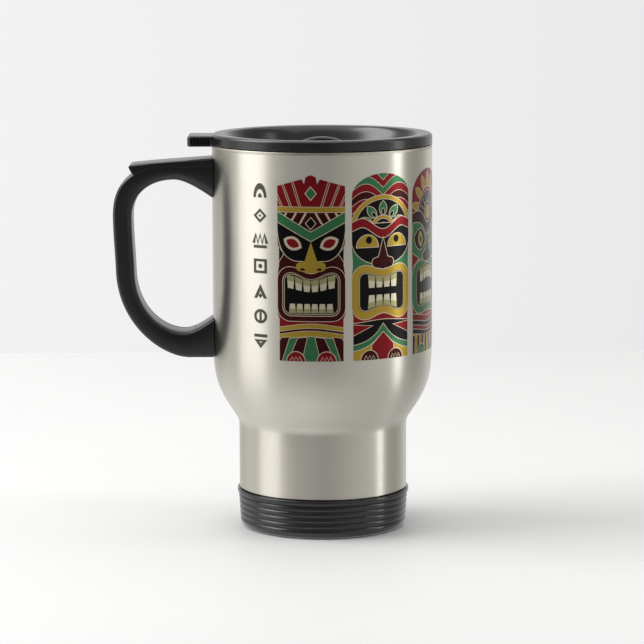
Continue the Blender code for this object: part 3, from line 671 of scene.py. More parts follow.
def makeThumbRest():
    # its sides lap down over the arm's rounded edges, so the joint hardly shows
    tip = handle["thumbTip"]
    reach = handle["thumbStretches"] * handle["stretches"] + 1
    under = handleOutside()[:reach] + [tip]
    over = [(handle["root"], 145.85), (-66.6, 143.95), (-73.6, 143.25), (-74.6, 143.0),
            (tip[0], tip[1] + 0.15)]
    side = handle["halfWidth"]
    rows = []
    steps = 70
    for i in range(steps + 1):
        x = handle["root"] + (tip[0] - handle["root"]) * i / steps
        low = heightAt(under, x)
        high = max(heightAt(over, x), low + 0.15)
        soft = min(0.9, 0.45 * (high - low))
        low -= handle["thumbLap"] * min(1.0, (high - low) / 1.5)
        row = [(x, -side, low), (x, side, low)]
        for middle, first in ((side - soft, 0), (soft - side, 90)):
            row += [(x, y, z) for y, z in
                    arc((middle, high - soft), soft, soft, first, first + 90, 5)]
        rows.append(row)
    rest = joinedRows("thumbRest", rows, handlePlastic)
    arm = loopPiece("armSpace", 0, reach + 6, 0.0, None, side + 0.04, handleEdges, None, 0.06)
    shapeWith(rest, "DIFFERENCE", arm)
    trimToBody(rest)
    place(rest, "mug", "black_plastic", "thumb_rest")


def makeScrewPlug():
    low = bottomOf("lower_screw_plug")
    high = topOf("lower_screw_plug")
    radius = handle["headRadius"]
    profile = [(0.0, high), (radius, high)]
    profile += arc((radius - 0.3, low + 0.3), 0.3, 0.3, 0, -90, 4)
    profile += [(1.4, low), (1.2, low + 0.25), (0.0, low + 0.25)]
    plug = turnedPiece("lowerScrewPlug", profile, handlePlastic, 64, (handle["screwX"], 0.0))
    place(plug, "mug", "black_plastic", "lower_screw_plug")


makeHandle()
makeHandleInsert()
makeThumbRest()
makeScrewPlug()
print("handle made")


# lid

lid = {
    "radius": steelBody["radius"],
    "crown": 4.0,
    "crownRound": 1.25,
    "dishFloor": -5.5,
    "dishRadius": 30.0,
    "floorThick": 2.0,
    "plugRadius": 37.8,
    "plugWall": 2.0,
    "plugDepth": 13.0,
    "plugRound": 0.5,
    "grooveTop": -5.9,
    "grooveBottom": -9.5,
    "grooveRadius": 36.8,
    "tabTip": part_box("lid_body")[0].x / mm,
    "tabRoot": -40.0,         # runs into the cover, which it is joined to
    "tabHalfWidth": 9.0,
    "tabCorner": 1.6,
    "tabSoft": 0.8,
    "tabTop": 3.4,
    "tabBottom": -0.7,
    "firstTabRib": -43.9,
    "tabRibPitch": 0.93,
    "tabRibs": 8,
    "tabRibDepth": 0.55,
    "holeY": 23.7,
    "holeSize": (15.0, 6.5),
    "holeCorner": 3.2,
    "ventY": -26.0,
    "ventRadius": 0.9,
    "travel": 9.0,
    "pinRadius": 2.0,
}
lid["seat"] = topOf("lid_body") - lid["crown"]  # where the lid rests on the rim


def lifted(points):
    # heights from the lid's seat to heights in the mug
    return [(across, height + lid["seat"]) for across, height in points]


def makeTab():
    # pull tab with a soft nose; its grip grooves stop short of the top
    wide = lid["tabHalfWidth"]
    bottom = lid["seat"] + lid["tabBottom"]
    top = lid["seat"] + lid["tabTop"]
    plan = roundedRectangle((lid["tabTip"], -wide), (lid["tabRoot"], wide), lid["tabCorner"])
    tab = slabPiece("tab", plan, bottom, top, lid["tabSoft"], None, 5)
    half = lid["tabRibPitch"] / 2
    cutters = []
    for i in range(lid["tabRibs"]):
        x = lid["firstTabRib"] - i * lid["tabRibPitch"]
        groove = [(x - half, wide + 0.05), (x, wide - lid["tabRibDepth"]), (x + half, wide + 0.05)]
        for plan in (groove, [(x, -y) for x, y in groove[::-1]]):
            cutters.append(slabPiece("cut", plan, bottom - 1.0, top - lid["tabSoft"], 0.0, None, 1))
    shapeWith(tab, "DIFFERENCE", *cutters)
    return tab


def makeLid():
    radius = lid["radius"]
    crown = lid["crown"]
    plugInside = lid["plugRadius"] - lid["plugWall"]
    crownEdge = (37.9, crown - 0.12)
    floorEdge = (lid["dishRadius"], lid["dishFloor"])
    profile = [(radius, 0.0)]
    soft = lid["crownRound"]
    profile += arc((radius - soft, crown - soft), soft, soft, 0, 90, 10)
    profile += bezier((radius - 1.6, crown), (radius - 2.6, crown), (38.8, crown), crownEdge, 4)
    profile += bezier(crownEdge, (35.4, crown - 0.6), (33.6, lid["dishFloor"]), floorEdge, 28)
    profile += [floorEdge, (0.0, lid["dishFloor"]), (0.0, lid["dishFloor"] - lid["floorThick"])]
    profile += [(lid["dishRadius"] + 1.0, lid["dishFloor"] - lid["floorThick"]), (plugInside, -1.6)]
    profile += [(plugInside, -lid["plugDepth"])]
    soft = lid["plugRound"]
    profile += arc((lid["plugRadius"] - soft, soft - lid["plugDepth"]), soft, soft, -90, 0, 4)
    profile += [(lid["plugRadius"], lid["grooveBottom"]), (lid["grooveRadius"], lid["grooveBottom"])]
    profile += [(lid["grooveRadius"], lid["grooveTop"]), (lid["plugRadius"], lid["grooveTop"])]
    profile += [(lid["plugRadius"], 0.0)]
    cover = turnedPiece("lidCover", lifted(profile), lidPlastic, 192)
    seat = lid["seat"]
    tab = makeTab()
    shapeWith(tab, "DIFFERENCE", roundCutter(radius + 0.2, seat - 3.0, seat + 0.2, 192))
    shapeWith(cover, "UNION", tab)
    halfX = lid["holeSize"][0] / 2
    halfY = lid["holeSize"][1] / 2
    play = lid["pinRadius"] + 0.25
    through = (seat + lid["dishFloor"] - 4.0, seat + lid["dishFloor"] + 2.0)
    mouth = roundedRectangle((-halfX, lid["holeY"] - halfY), (halfX, lid["holeY"] + halfY),
                             lid["holeCorner"])
    track = roundedRectangle((-play, -lid["travel"] - play), (play, play), play - 0.01)
    cutters = [slabPiece("cut", plan, *through, 0.0, None, 1) for plan in (mouth, track)]
    cutters.append(roundCutter(lid["ventRadius"], *through, 32, (0.0, lid["ventY"])))
    shapeWith(cover, "DIFFERENCE", *cutters)
    place(cover, "lid", "lid_plastic", "lid_body")


gasketLip = {
    "root": 0.9,              # in from the lip's outer edge
    "fromEdge": 0.75,         # middle of a lip, from the gasket's upper or lower edge
    "halfSize": (0.85, 0.35),
    "play": 0.2,
}


def makeGasket():
    # two soft lips lean outwards, so the lid drags and seals as it goes in
    low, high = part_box("lid_gasket")
    bottom = low.z / mm
    top = high.z / mm
    outer = high.x / mm
    inner = lid["grooveRadius"] + gasketLip["play"]
    root = outer - gasketLip["root"]
    edge = gasketLip["fromEdge"]
    middle = (bottom + top) / 2
    profile = [(inner, top), (root, top)]
    profile += arc((root, top - edge), *gasketLip["halfSize"], 60, -60, 6)
    profile += [(root, middle)]
    profile += arc((root, bottom + edge), *gasketLip["halfSize"], 60, -60, 6)
    profile += [(root, bottom), (inner, bottom)]
    gasket = turnedPiece("lidGasket", profile, greySilicone, 192)
    place(gasket, "gasket", "grey_silicone", "lid_gasket")


slider = {
    "halfWidth": 12.0,
    "corner": 6.0,
    "soft": 0.6,
    "back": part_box("lid_slider")[0].y / mm,
    "front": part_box("lid_slider")[1].y / mm,
    "bottom": lid["dishFloor"] + 0.25,
    "thick": 2.25,
    "finY": 6.0,
    "finThick": 4.0,
    "finHalfWidth": 11.0,
    "finTop": topOf("lid_slider") - lid["seat"],
    "finRadius": 21.0,
    "finSoft": 1.2,
    "finSplay": 0.7,          # wider at its foot, on each side
    "finSections": 48,
    "finRoot": 1.0,           # starts this far up inside the shutter
    "sealPlay": 0.2,
    "sealCorner": 3.2,
}


def makeSlider():
    seat = lid["seat"]
    bottom = seat + slider["bottom"]
    outline = roundedRectangle((-slider["halfWidth"], slider["back"]),
                               (slider["halfWidth"], slider["front"]), slider["corner"])
    shutter = slabPiece("lidSlider", outline, bottom, bottom + slider["thick"], slider["soft"],
                        lidPlastic)
    reach = slider["finHalfWidth"]
    radius = slider["finRadius"]
    centre = seat + slider["finTop"] - radius
    soft = slider["finSoft"]
    splay = slider["finSplay"]
    root = bottom + slider["finRoot"]
    rows = []
    for i in range(slider["finSections"] + 1):
        x = reach * (1 - i / (slider["finSections"] / 2))
        high = centre + math.sqrt(radius ** 2 - x ** 2)
        half = slider["finThick"] / 2
        row = [(x, slider["finY"] - half - splay, root)]
        for middle, first in ((soft - half, 180), (half - soft, 90)):
            row += [(x, slider["finY"] + y, z) for y, z in
                    arc((middle, high - soft), soft, soft, first, first - 90, 5)]
        row.append((x, slider["finY"] + half + splay, root))
        rows.append(row)
    fin = joinedRows("fin", rows, None)
    low = bottomOf("lid_slider")
    pin = turnedPiece("pin", [(0.0, root), (lid["pinRadius"], root),
                              (lid["pinRadius"], low + 0.3), (lid["pinRadius"] - 0.3, low),
                              (0.0, low)], None, 64)
    shapeWith(shutter, "UNION", fin, pin)
    padLow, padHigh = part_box("slider_seal")
    play = slider["sealPlay"]
    pocket = roundedRectangle((padLow.x / mm - play, padLow.y / mm - play),
                              (padHigh.x / mm + play, padHigh.y / mm + play), 3.4)
    recess = slabPiece("cut", pocket, bottom - 1.0, padHigh.z / mm + play, 0.0, None, 1)
    shapeWith(shutter, "DIFFERENCE", recess)
    place(shutter, "slider", "lid_plastic", "lid_slider")


def makeSliderSeal():
    low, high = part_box("slider_seal")
    plan = roundedRectangle((low.x / mm, low.y / mm), (high.x / mm, high.y / mm),
                            slider["sealCorner"])
    pad = slabPiece("drinkHoleSeal", plan, low.z / mm, high.z / mm, 0.25, greySilicone)
    place(pad, "slider", "grey_silicone", "slider_seal")


def makeSliderClip():
    low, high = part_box("slider_clip")
    outer = high.x / mm
    inner = lid["pinRadius"] + 0.15
    bottom = low.z / mm
    top = high.z / mm
    profile = [(inner, top), (outer, top)]
    profile += arc((outer - 0.4, bottom + 0.4), 0.4, 0.4, 0, -90, 4)
    profile += [(inner + 1.2, bottom), (inner + 0.9, bottom + 0.3), (inner, bottom + 0.3)]
    clip = turnedPiece("sliderClip", profile, lidPlastic, 96)
    place(clip, "slider", "lid_plastic", "slider_clip")


makeLid()
makeGasket()
makeSlider()
makeSliderSeal()
makeSliderClip()
print("lid made")


# metal pieces inside the handle's arms and under the body keep their plain solids

for finish, nodes in ((zincSteel, ("upper_screw", "lower_screw", "upper_washer", "lower_washer")),
                      (drawnSteel, ("upper_bracket", "lower_bracket", "bottom_plate"))):
    for node in nodes:
        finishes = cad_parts[node].data.materials
        finishes.clear()
        finishes.append(finish)
print("fixings finished")


# printed band

printBand = {
    "bottom": 71.4,           # height of the panels' lower edge
    "panelWidth": 26.1,
    "panelPitch": 38.3,       # degrees round the body
    "firstPanel": -5.8,       # degrees from the front, positive away from the handle
    "motifColumn": -33.3,
    "motifTop": 136.0,
    "motifPitch": 9.62,
    "motifSize": (6.0, 5.5),
    "stripWidth": 1.5,        # the ink is bent to the body in strips this wide
    "inkUnder": 0.030,
    "inkOver": 0.005,
}
inkColours = {
    "red": "#86141a", "maroon": "#3f0a0c", "green": "#3d7a50", "yellow": "#b59838",
    "black": "#0b090a", "cream": "#dccbb2", "tooth": "#dcd3b8", "root": "#aca878",
    "grey": "#4a4a44",
}
inks = {name: makeInk(name + "PrintInk", colour) for name, colour in inkColours.items()}
halfPanel = printBand["panelWidth"] / 2


def mirrored(outline):
    return [(-x, y) for x, y in outline][::-1]


def bothHalves(outline):
    # a right half that starts and ends on the middle line, closed by its mirror image
    return outline + mirrored(outline)[1:-1]


def paint(art, ink, outline, line=0.0, both=False):
    # lays one patch of ink over those before it, with a cream line round it if asked,
    # and its mirror image on the other half
    for shape in (outline, mirrored(outline)) if both else (outline,):
        if line:
            art.append(("cream", movedIn(shape, -line)))
        art.append((ink, shape))


def penLine(line, width):
    left = []
    right = []
    for i, point in enumerate(line):
        along = Vector(line[min(i + 1, len(line) - 1)]) - Vector(line[max(i - 1, 0)])
        side = Vector((-along.y, along.x)).normalized() * width / 2
        left.append((point[0] + side.x, point[1] + side.y))
        right.append((point[0] - side.x, point[1] - side.y))
    return left + right[::-1]


def across(height, steps=32):
    # points of the line y = height(x), a little wider than the panel
    reach = halfPanel + 1.0
    xs = [reach * (2 * i / steps - 1) for i in range(steps + 1)]
    return [(x, height(x)) for x in xs]


def below(height, floor):
    return across(height) + [(halfPanel + 1.0, floor), (-halfPanel - 1.0, floor)]


def sag(x, reach):
    # 1 in the middle, easing to 0 at reach on both sides
    return 0.5 * (1 + math.cos(math.pi * min(abs(x) / reach, 1.0)))


def oval(centre, radiusAcross, radiusUp, steps=20):
    return arc(centre, radiusAcross, radiusUp, 0, 360 - 360 / steps, steps - 1)


def almond(centre, long, short, tilt):
    shape = bezier((-long, 0), (-long / 2, short * 1.33), (long / 2, short * 1.33), (long, 0), 10)
    shape += bezier((long, 0), (long / 2, -short * 1.33), (-long / 2, -short * 1.33), (-long, 0), 10)
    turn = math.radians(tilt)
    return [(centre[0] + x * math.cos(turn) - y * math.sin(turn),
             centre[1] + x * math.sin(turn) + y * math.cos(turn)) for x, y in shape]


def diamond(centre, wide, high):
    x, y = centre
    return [(x + wide, y), (x, y + high), (x - wide, y), (x, y - high)]


def mouthOutline(wide, low, high, corner, dip, lift):
    # rounded box whose top edge dips, and whose bottom edge lifts, in the middle
    flat = wide - corner
    points = arc((-flat, low + corner), corner, corner, 180, 270, 6)
    points += [(x, low + lift * sag(x, flat)) for x in (flat * (i / 6 - 1) for i in range(1, 12))]
    points += arc((flat, low + corner), corner, corner, 270, 360, 6)
    points += arc((flat, high - corner), corner, corner, 0, 90, 6)
    points += [(x, high - dip * sag(x, flat)) for x in (flat * (1 - i / 6) for i in range(1, 12))]
    points += arc((-flat, high - corner), corner, corner, 90, 180, 6)
    return points


def toothRow(art, count, wide, root, tip):
    # root and tip give the row's two edges; the tooth is stained towards its root
    pitch = 2 * wide / count
    for i in range(count):
        left = -wide + i * pitch + 0.08
        right = left + pitch - 0.16
        slim = 0.13 * pitch
        ends = [(left, root(left)), (left + slim, tip(left + slim))]
        ends += [(right - slim, tip(right - slim)), (right, root(right))]
        paint(art, "tooth", ends)
        half = [(a * 0.45 + b * 0.55, c * 0.45 + d * 0.55) for (a, c), (b, d) in
                ((ends[1], ends[0]), (ends[2], ends[3]))]
        paint(art, "root", [ends[0], half[0], half[1], ends[3]])


def nose(art, ink, top, bottom, half, line):
    side = [(half * 0.42, bottom + (top - bottom) * 0.36)]
    side += bezier(side[0], (half * 0.7, bottom + 3.6), (half, bottom + 3.8), (half, bottom + 2.0), 6)
    side += bezier((half, bottom + 2.0), (half, bottom + 0.5), (half * 0.8, bottom),
                   (half * 0.5, bottom), 5)
    outline = [(0.0, top)] + side[1:] + [(0.0, bottom - 0.5)] + mirrored(side[1:])
    paint(art, ink, outline, line)
    paint(art, "black", arc((half * 0.56, bottom + 0.5), 0.95, 0.95, 0, 180, 8), both=True)


def feet(art, ink, centre, radius):
    paint(art, ink, arc((centre, -0.4), radius, radius + 0.4, 0, 180, 18), 0.3, both=True)
    zigzag = []
    for i in range(7):
        zigzag.append((centre - radius * 0.62 + radius * 1.24 * i / 6, 0.25 + 1.5 * (i % 2)))
    paint(art, "cream", penLine(zigzag, 0.28), both=True)


def fanCrownPanel():
    # stepped fan crown, V brow, shield round the eyes and a wide open mouth
    half = halfPanel
    art = []
    top = [(half, 66.6), (3.4, 69.3), (2.5, 67.4), (1.9, 70.1), (0.0, 70.9)]
    ground = [(-half + 0.7, 0.0), (half - 0.7, 0.0), (half - 0.7, 16.0), (half, 18.0)]
    ground += [(half, 33.0), (half - 0.6, 36.5), (half - 0.6, 42.0), (half, 46.0)] + top
    ground += mirrored(top)[1:] + [(-half, 46.0), (0.6 - half, 42.0), (0.6 - half, 36.5)]
    ground += [(-half, 33.0), (-half, 18.0), (0.7 - half, 16.0)]
    paint(art, "red", ground)
    for foot, head in ((3.6, 7.4), (7.2, 11.8), (10.8, 16.2)):
        for shift in (0.0, 0.75):
            ray = [(foot + shift, 58.6), (head + shift, 70.5)]
            paint(art, "cream", penLine(ray, 0.24), both=True)
    paint(art, "green", diamond((0.0, 63.9), 1.9, 2.3), 0.35)
    paint(art, "yellow", [(-14.0, 58.7), (-14.0, 56.9), (14.0, 56.9), (14.0, 58.7)], 0.22)
    paint(art, "maroon", [(-14.0, 56.6), (-14.0, 42.0), (14.0, 42.0), (14.0, 56.6)])
    for foot, head in ((5.6, 1.8), (9.4, 5.6), (13.2, 9.4)):
        paint(art, "cream", penLine([(foot, 50.0), (head, 56.6)][::-1], 0.75), both=True)
    paint(art, "maroon", diamond((0.0, 51.4), 4.8, 5.2))
    paint(art, "black", diamond((0.0, 52.6), 1.8, 2.1), 0.3)
    shield = [(0.0, 48.0), (half, 54.5)]
    shield += bezier((half, 54.5), (half + 0.4, 45.0), (11.2, 38.6), (4.6, 38.2), 14)
    shield += [(0.0, 38.2)]
    paint(art, "maroon", [(-14.0, 49.0), (-14.0, 34.0), (14.0, 34.0), (14.0, 49.0)])
    paint(art, "black", [(14.0, 45.0), (10.6, 41.0), (14.0, 35.5)], 0.25, both=True)
    paint(art, "black", bothHalves(shield), 0.28)
    brow = [(0.0, 49.2), (14.0, 57.4), (14.0, 53.6), (0.0, 45.9)]
    paint(art, "green", bothHalves(brow), 0.28)
    paint(art, "cream", almond((7.0, 45.0), 3.9, 2.6, 24), both=True)
    paint(art, "red", almond((7.0, 45.0), 2.7, 1.6, 24), both=True)
    paint(art, "maroon", mouthOutline(half, 15.4, 36.0, 5.0, 2.6, 0.0), 0.25)
    paint(art, "cream", mouthOutline(half - 1.9, 17.2, 34.0, 3.3, 2.6, 0.0))
    paint(art, "maroon", mouthOutline(half - 2.15, 17.5, 33.8, 3.1, 2.6, 0.0))
    paint(art, "black", mouthOutline(half - 2.8, 18.2, 33.2, 2.6, 2.6, 0.0), 0.22)
    toothRow(art, 6, 9.4, lambda x: 33.0 - 2.5 * sag(x, 9.0), lambda x: 28.2 - 1.7 * sag(x, 11.0))
    toothRow(art, 6, 8.6, lambda x: 18.5, lambda x: 22.0)
    nose(art, "yellow", 45.6, 34.2, 5.7, 0.0)
    paint(art, "yellow", below(lambda x: 14.3 - 2.2 * (1 - sag(x, 20.0)), 0.0), 0.2)
    paint(art, "maroon", below(lambda x: 12.6 - 2.2 * (1 - sag(x, 20.0)), 0.0), 0.2)
    paint(art, "yellow", below(lambda x: 11.6 - 2.2 * (1 - sag(x, 20.0)), 0.0), 0.2)
    paint(art, "green", below(lambda x: 9.4 - 2.2 * (1 - sag(x, 20.0)), 0.0), 0.2)
    for left, right, footLeft, footRight in ((1.6, 5.0, 3.6, 9.0), (8.4, 11.6, 11.4, 17.0)):
        leg = [(left, 9.2), (right, 8.8), (footRight, 0.0), (footLeft, 0.0)]
        paint(art, "maroon", leg, 0.22, both=True)
    feet(art, "red", 5.9, 3.6)
    return art


def rainbowCrownPanel():
    # round crown of nested wings, a sunburst on the forehead and half-closed eyes
    half = halfPanel
    art = []
    arch = arc((0.0, 62.6), half, 8.4, 0, 180, 28)
    ground = [(0.5 - half, 0.0), (half - 0.5, 0.0), (half - 0.5, 17.0), (half, 19.0), (half, 33.0)]
    ground += [(half - 0.4, 36.0), (half, 44.0)] + arch
    ground += [(-half, 44.0), (0.4 - half, 36.0), (-half, 33.0), (-half, 19.0), (0.5 - half, 17.0)]
    paint(art, "red", ground)
    wings = ("green", "red", "green", "red", "maroon", "red", "maroon")
    for i, ink in enumerate(wings):
        level = 71.2 - 2.9 * i
        paint(art, ink, below(lambda x, z=level: z + 4.6 * math.sin(math.pi * abs(x) / 15.0), 40.0),
              0.2)
    paint(art, "green", [(-14.0, 42.0), (-14.0, 18.0), (14.0, 18.0), (14.0, 42.0)])
    paint(art, "yellow", arc((0.0, 51.0), half + 0.2, 11.7, 0, 180, 30), 0.25)
    paint(art, "black", arc((0.0, 51.0), half - 1.6, 10.1, 0, 180, 30), 0.2)
    for angle in (12, 51, 90, 129, 168):
        turn = math.radians(angle)
        far = (7.7 * math.cos(turn), 51.6 + 6.0 * math.sin(turn))
        near = (6.4 * math.cos(turn), 51.6 + 4.9 * math.sin(turn))
        paint(art, "green", almond(far, 2.9, 1.6, angle), 0.25)
        paint(art, "black", almond(near, 1.2, 0.65, angle), 0.2)
    paint(art, "yellow", arc((0.0, 50.0), 5.2, 5.0, 0, 180, 20), 0.25)
    paint(art, "black", arc((0.0, 50.0), 3.8, 3.7, 0, 180, 18), 0.2)
    paint(art, "maroon", arc((0.0, 50.0), 2.4, 2.2, 0, 180, 14), 0.25)
    shield = [(0.0, 52.0), (half + 0.6, 52.0), (half + 0.6, 45.0)]
    shield += bezier((half, 45.0), (half - 0.6, 40.0), (7.5, 37.2), (4.2, 37.0), 12) + [(0.0, 37.0)]
    paint(art, "black", bothHalves(shield), 0.28)
    eyes = arc((6.7, 43.2), 4.5, 4.6, 0, 180, 20)
    paint(art, "yellow", eyes, 0.28, both=True)
    paint(art, "black", oval((6.2, 45.8), 1.3, 1.4), both=True)

    def browLine(x):
        return 52.6 - 4.4 * sag(x, 9.5) - 2.2 * (1 - sag(max(abs(x) - 8.0, 0.0), 8.0))
    brow = across(lambda x: browLine(x) + 1.6) + across(lambda x: browLine(x) - 1.6)[::-1]
    paint(art, "red", brow, 0.28)
    paint(art, "yellow", mouthOutline(half, 15.6, 36.2, 5.2, 1.8, 2.2), 0.25)
    paint(art, "maroon", mouthOutline(half - 2.7, 18.5, 33.5, 2.6, 1.6, 2.0))
    paint(art, "black", mouthOutline(half - 3.1, 18.9, 33.1, 2.3, 1.6, 2.0), 0.22)
    toothRow(art, 4, 6.7, lambda x: 32.8 - 1.5 * sag(x, 7.4), lambda x: 27.6)
    toothRow(art, 4, 6.7, lambda x: 19.3 + 1.9 * sag(x, 7.4), lambda x: 24.8)
    nose(art, "maroon", 46.4, 35.2, 4.8, 0.28)
    paint(art, "black", below(lambda x: 15.2 - 1.0 * (1 - sag(x, 14.0)), 0.0), 0.25)
    paint(art, "red", [(5.0, 13.0), (14.0, 13.8), (14.0, 9.0)], 0.25, both=True)
    chevron = [(0.0, 13.6)] + bezier((2.4, 10.6), (5.5, 7.4), (9.5, 6.0), (14.0, 5.6), 8)
    chevron += [(14.0, 5.6), (14.0, 0.0), (0.0, 0.0)]
    paint(art, "green", bothHalves(chevron), 0.25)
    sides = bezier((2.0, 8.6), (5.0, 5.4), (9.0, 3.7), (14.0, 3.2), 8) + [(14.0, 3.2), (14.0, 0.0)]
    paint(art, "yellow", sides + [(2.0, 0.0)], 0.25, both=True)
    paint(art, "red", [(0.0, 10.4), (4.9, 5.6), (4.9, 0.0), (-4.9, 0.0), (-4.9, 5.6)], 0.25)
    feet(art, "maroon", 5.9, 3.6)
    return art


def petalCrownPanel():
    # tall petals under a round arch, ringed eyes and a broad jaw
    half = halfPanel
    art = []
    arch = arc((0.0, 61.0), half, 10.0, 0, 180, 28)
    ground = [(0.5 - half, 0.0), (half - 0.5, 0.0), (half - 0.5, 17.0), (half, 20.0)] + arch
    ground += [(-half, 20.0), (0.5 - half, 17.0)]
    paint(art, "red", ground)
    for angle in range(12, 169, 26):
        turn = math.radians(angle)
        middle = (10.2 * math.cos(turn), 54.5 + 12.0 * math.sin(turn))
        paint(art, "yellow", almond(middle, 3.4, 1.45, angle), 0.25)
    paint(art, "red", arc((0.0, 52.0), 9.2, 12.0, 0, 180, 26), 0.28)
    paint(art, "black", arc((0.0, 52.0), 8.0, 10.6, 0, 180, 26), 0.22)
    for angle in range(30, 151, 20):
        turn = math.radians(angle)
        spoke = [(3.4 * math.cos(turn), 53.0 + 4.2 * math.sin(turn)),
                 (7.4 * math.cos(turn), 52.0 + 9.8 * math.sin(turn))]
        paint(art, "cream", penLine(spoke, 0.26))
    paint(art, "maroon", oval((0.0, 54.2), 3.3, 3.8), 0.28)
    paint(art, "yellow", oval((0.0, 54.2), 2.0, 2.4), 0.25)

    def waveLine(x):
        return 52.4 - 4.2 * sag(x, 7.0) + 0.9 * sag(abs(x) - 9.5, 5.0)
    paint(art, "maroon", across(lambda x: waveLine(x) + 1.8) + [(14.0, 30.0), (-14.0, 30.0)], 0.28)
    mask = [(0.0, 45.0)] + bezier((2.0, 45.6), (6.0, 51.0), (10.0, 51.4), (14.0, 50.2), 8)
    mask += [(14.0, 36.0)] + bezier((10.0, 36.0), (5.0, 36.2), (2.0, 38.5), (0.0, 41.0), 6)
    paint(art, "green", mask + mirrored(mask)[1:], 0.28)
    paint(art, "black", almond((7.2, 44.2), 4.7, 4.0, 10), 0.25, both=True)
    paint(art, "yellow", almond((7.0, 44.2), 2.9, 1.5, 84), 0.25, both=True)
    paint(art, "black", oval((7.0, 44.2), 0.65, 1.1, 14), both=True)
    paint(art, "red", [(14.0, 39.5), (8.5, 36.8), (14.0, 33.0)], 0.25, both=True)
    paint(art, "green", mouthOutline(half, 15.4, 35.6, 5.6, -1.6, 0.8), 0.25)
    paint(art, "maroon", mouthOutline(half - 2.6, 18.0, 33.2, 3.0, -1.4, 0.8))
    paint(art, "black", mouthOutline(half - 3.0, 18.4, 32.8, 2.7, -1.4, 0.8), 0.22)
    toothRow(art, 5, 7.6, lambda x: 32.4 + 1.2 * sag(x, 7.0), lambda x: 27.4 + 1.4 * sag(x, 9.0))
    toothRow(art, 5, 7.6, lambda x: 18.8 + 0.7 * sag(x, 7.0), lambda x: 23.2)
    nose(art, "maroon", 47.2, 35.4, 5.0, 0.28)
    for level, ink in ((15.6, "red"), (13.2, "black"), (11.4, "red"), (9.8, "black"), (7.9, "yellow")):
        paint(art, ink, below(lambda x, z=level: z - 1.6 * sag(x, 15.0), 0.0), 0.22)
    for left in (0.9, 4.3, 7.7, 11.1):
        leg = [(left, 6.8), (left + 1.7, 7.2), (left + 2.2, 0.0), (left + 0.5, 0.0)]
        paint(art, "maroon", leg, 0.2, both=True)
    feet(art, "green", 6.1, 3.4)
    return art


def recoloured(art, swaps):
    return [(swaps.get(ink, ink), outline) for ink, outline in art]


def motifs():
    # seven plain marks, one above the other
    wide, high = (size / 2 for size in printBand["motifSize"])
    sawtooth = [(-wide + wide * i / 3, high * (0.9 if i % 2 else -0.35)) for i in range(7)]
    square = [(-wide, -high), (wide, -high), (wide, high), (-wide, high)]
    marks = [
        [("grey", arc((0.0, -high), wide, 2 * high, 0, 180, 20)),
         (None, arc((0.0, -high), wide * 0.62, high * 1.15, 0, 180, 18)),
         ("grey", arc((0.0, -high), wide * 0.3, high * 0.6, 0, 180, 12))],
        [("grey", diamond((0.0, 0.0), wide, high)),
         (None, diamond((0.0, 0.0), wide * 0.55, high * 0.55)),
         ("grey", diamond((0.0, 0.0), wide * 0.22, high * 0.22))],
        [("grey", penLine(sawtooth, 1.3)),
         ("grey", [(-wide, -high), (wide, -high), (wide, -high + 1.1), (-wide, -high + 1.1)])],
        [("grey", square), (None, [(x * 0.62, y * 0.62) for x, y in square]),
         ("grey", oval((0.0, 0.0), 0.9, 0.9, 16))],
        [("grey", [(-wide, -high), (0.0, high), (wide, -high), (wide * 0.5, -high),
                   (0.0, 0.1), (-wide * 0.5, -high)]),
         ("grey", diamond((0.0, -high * 0.62), 0.95, 1.0))],
        [("grey", oval((0.0, 0.0), wide, high, 28)), (None, oval((0.0, 0.0), wide * 0.62, high * 0.62)),
         ("grey", [(-0.5, -high), (0.5, -high), (0.5, high), (-0.5, high)])],
        [("grey", [(-wide, high - 1.2), (-wide, high), (wide, high), (wide, high - 1.2)]),
         ("grey", [(-wide, high - 2.1), (wide, high - 2.1), (0.0, -high)]),
         (None, [(-wide * 0.3, high - 2.9), (wide * 0.3, high - 2.9), (0.0, -high * 0.25)])],
    ]
    return marks


def flatRegions(shapes):
    # cuts overlapping outlines into triangles, each with the ink that was laid on it last;
    # upright cuts let the sheet bend round the body
    points = []
    edges = []
    faces = []
    for _, outline in shapes:
        area = sum(a[0] * b[1] - b[0] * a[1] for a, b in zip(outline, outline[1:] + outline[:1]))
        corners = outline if area > 0 else outline[::-1]
        faces.append(list(range(len(points), len(points) + len(corners))))
        points += [Vector(corner) for corner in corners]
    ground = shapes[0][1]
    low = min(y for _, y in ground) - 1.0
    high = max(y for _, y in ground) + 1.0
    strips = math.ceil(halfPanel / printBand["stripWidth"])
    for i in range(-strips, strips + 1):
        x = i * printBand["stripWidth"]
        edges.append((len(points), len(points) + 1))
        points += [Vector((x, low)), Vector((x, high))]
    verts, _, triangles, _, _, sources = delaunay_2d_cdt(points, edges, faces, 1, 1e-3)
    kept = []
    for triangle, source in zip(triangles, sources):
        if source and 0 in source and shapes[max(source)][0]:
            kept.append((list(triangle), shapes[max(source)][0]))
    return verts, kept


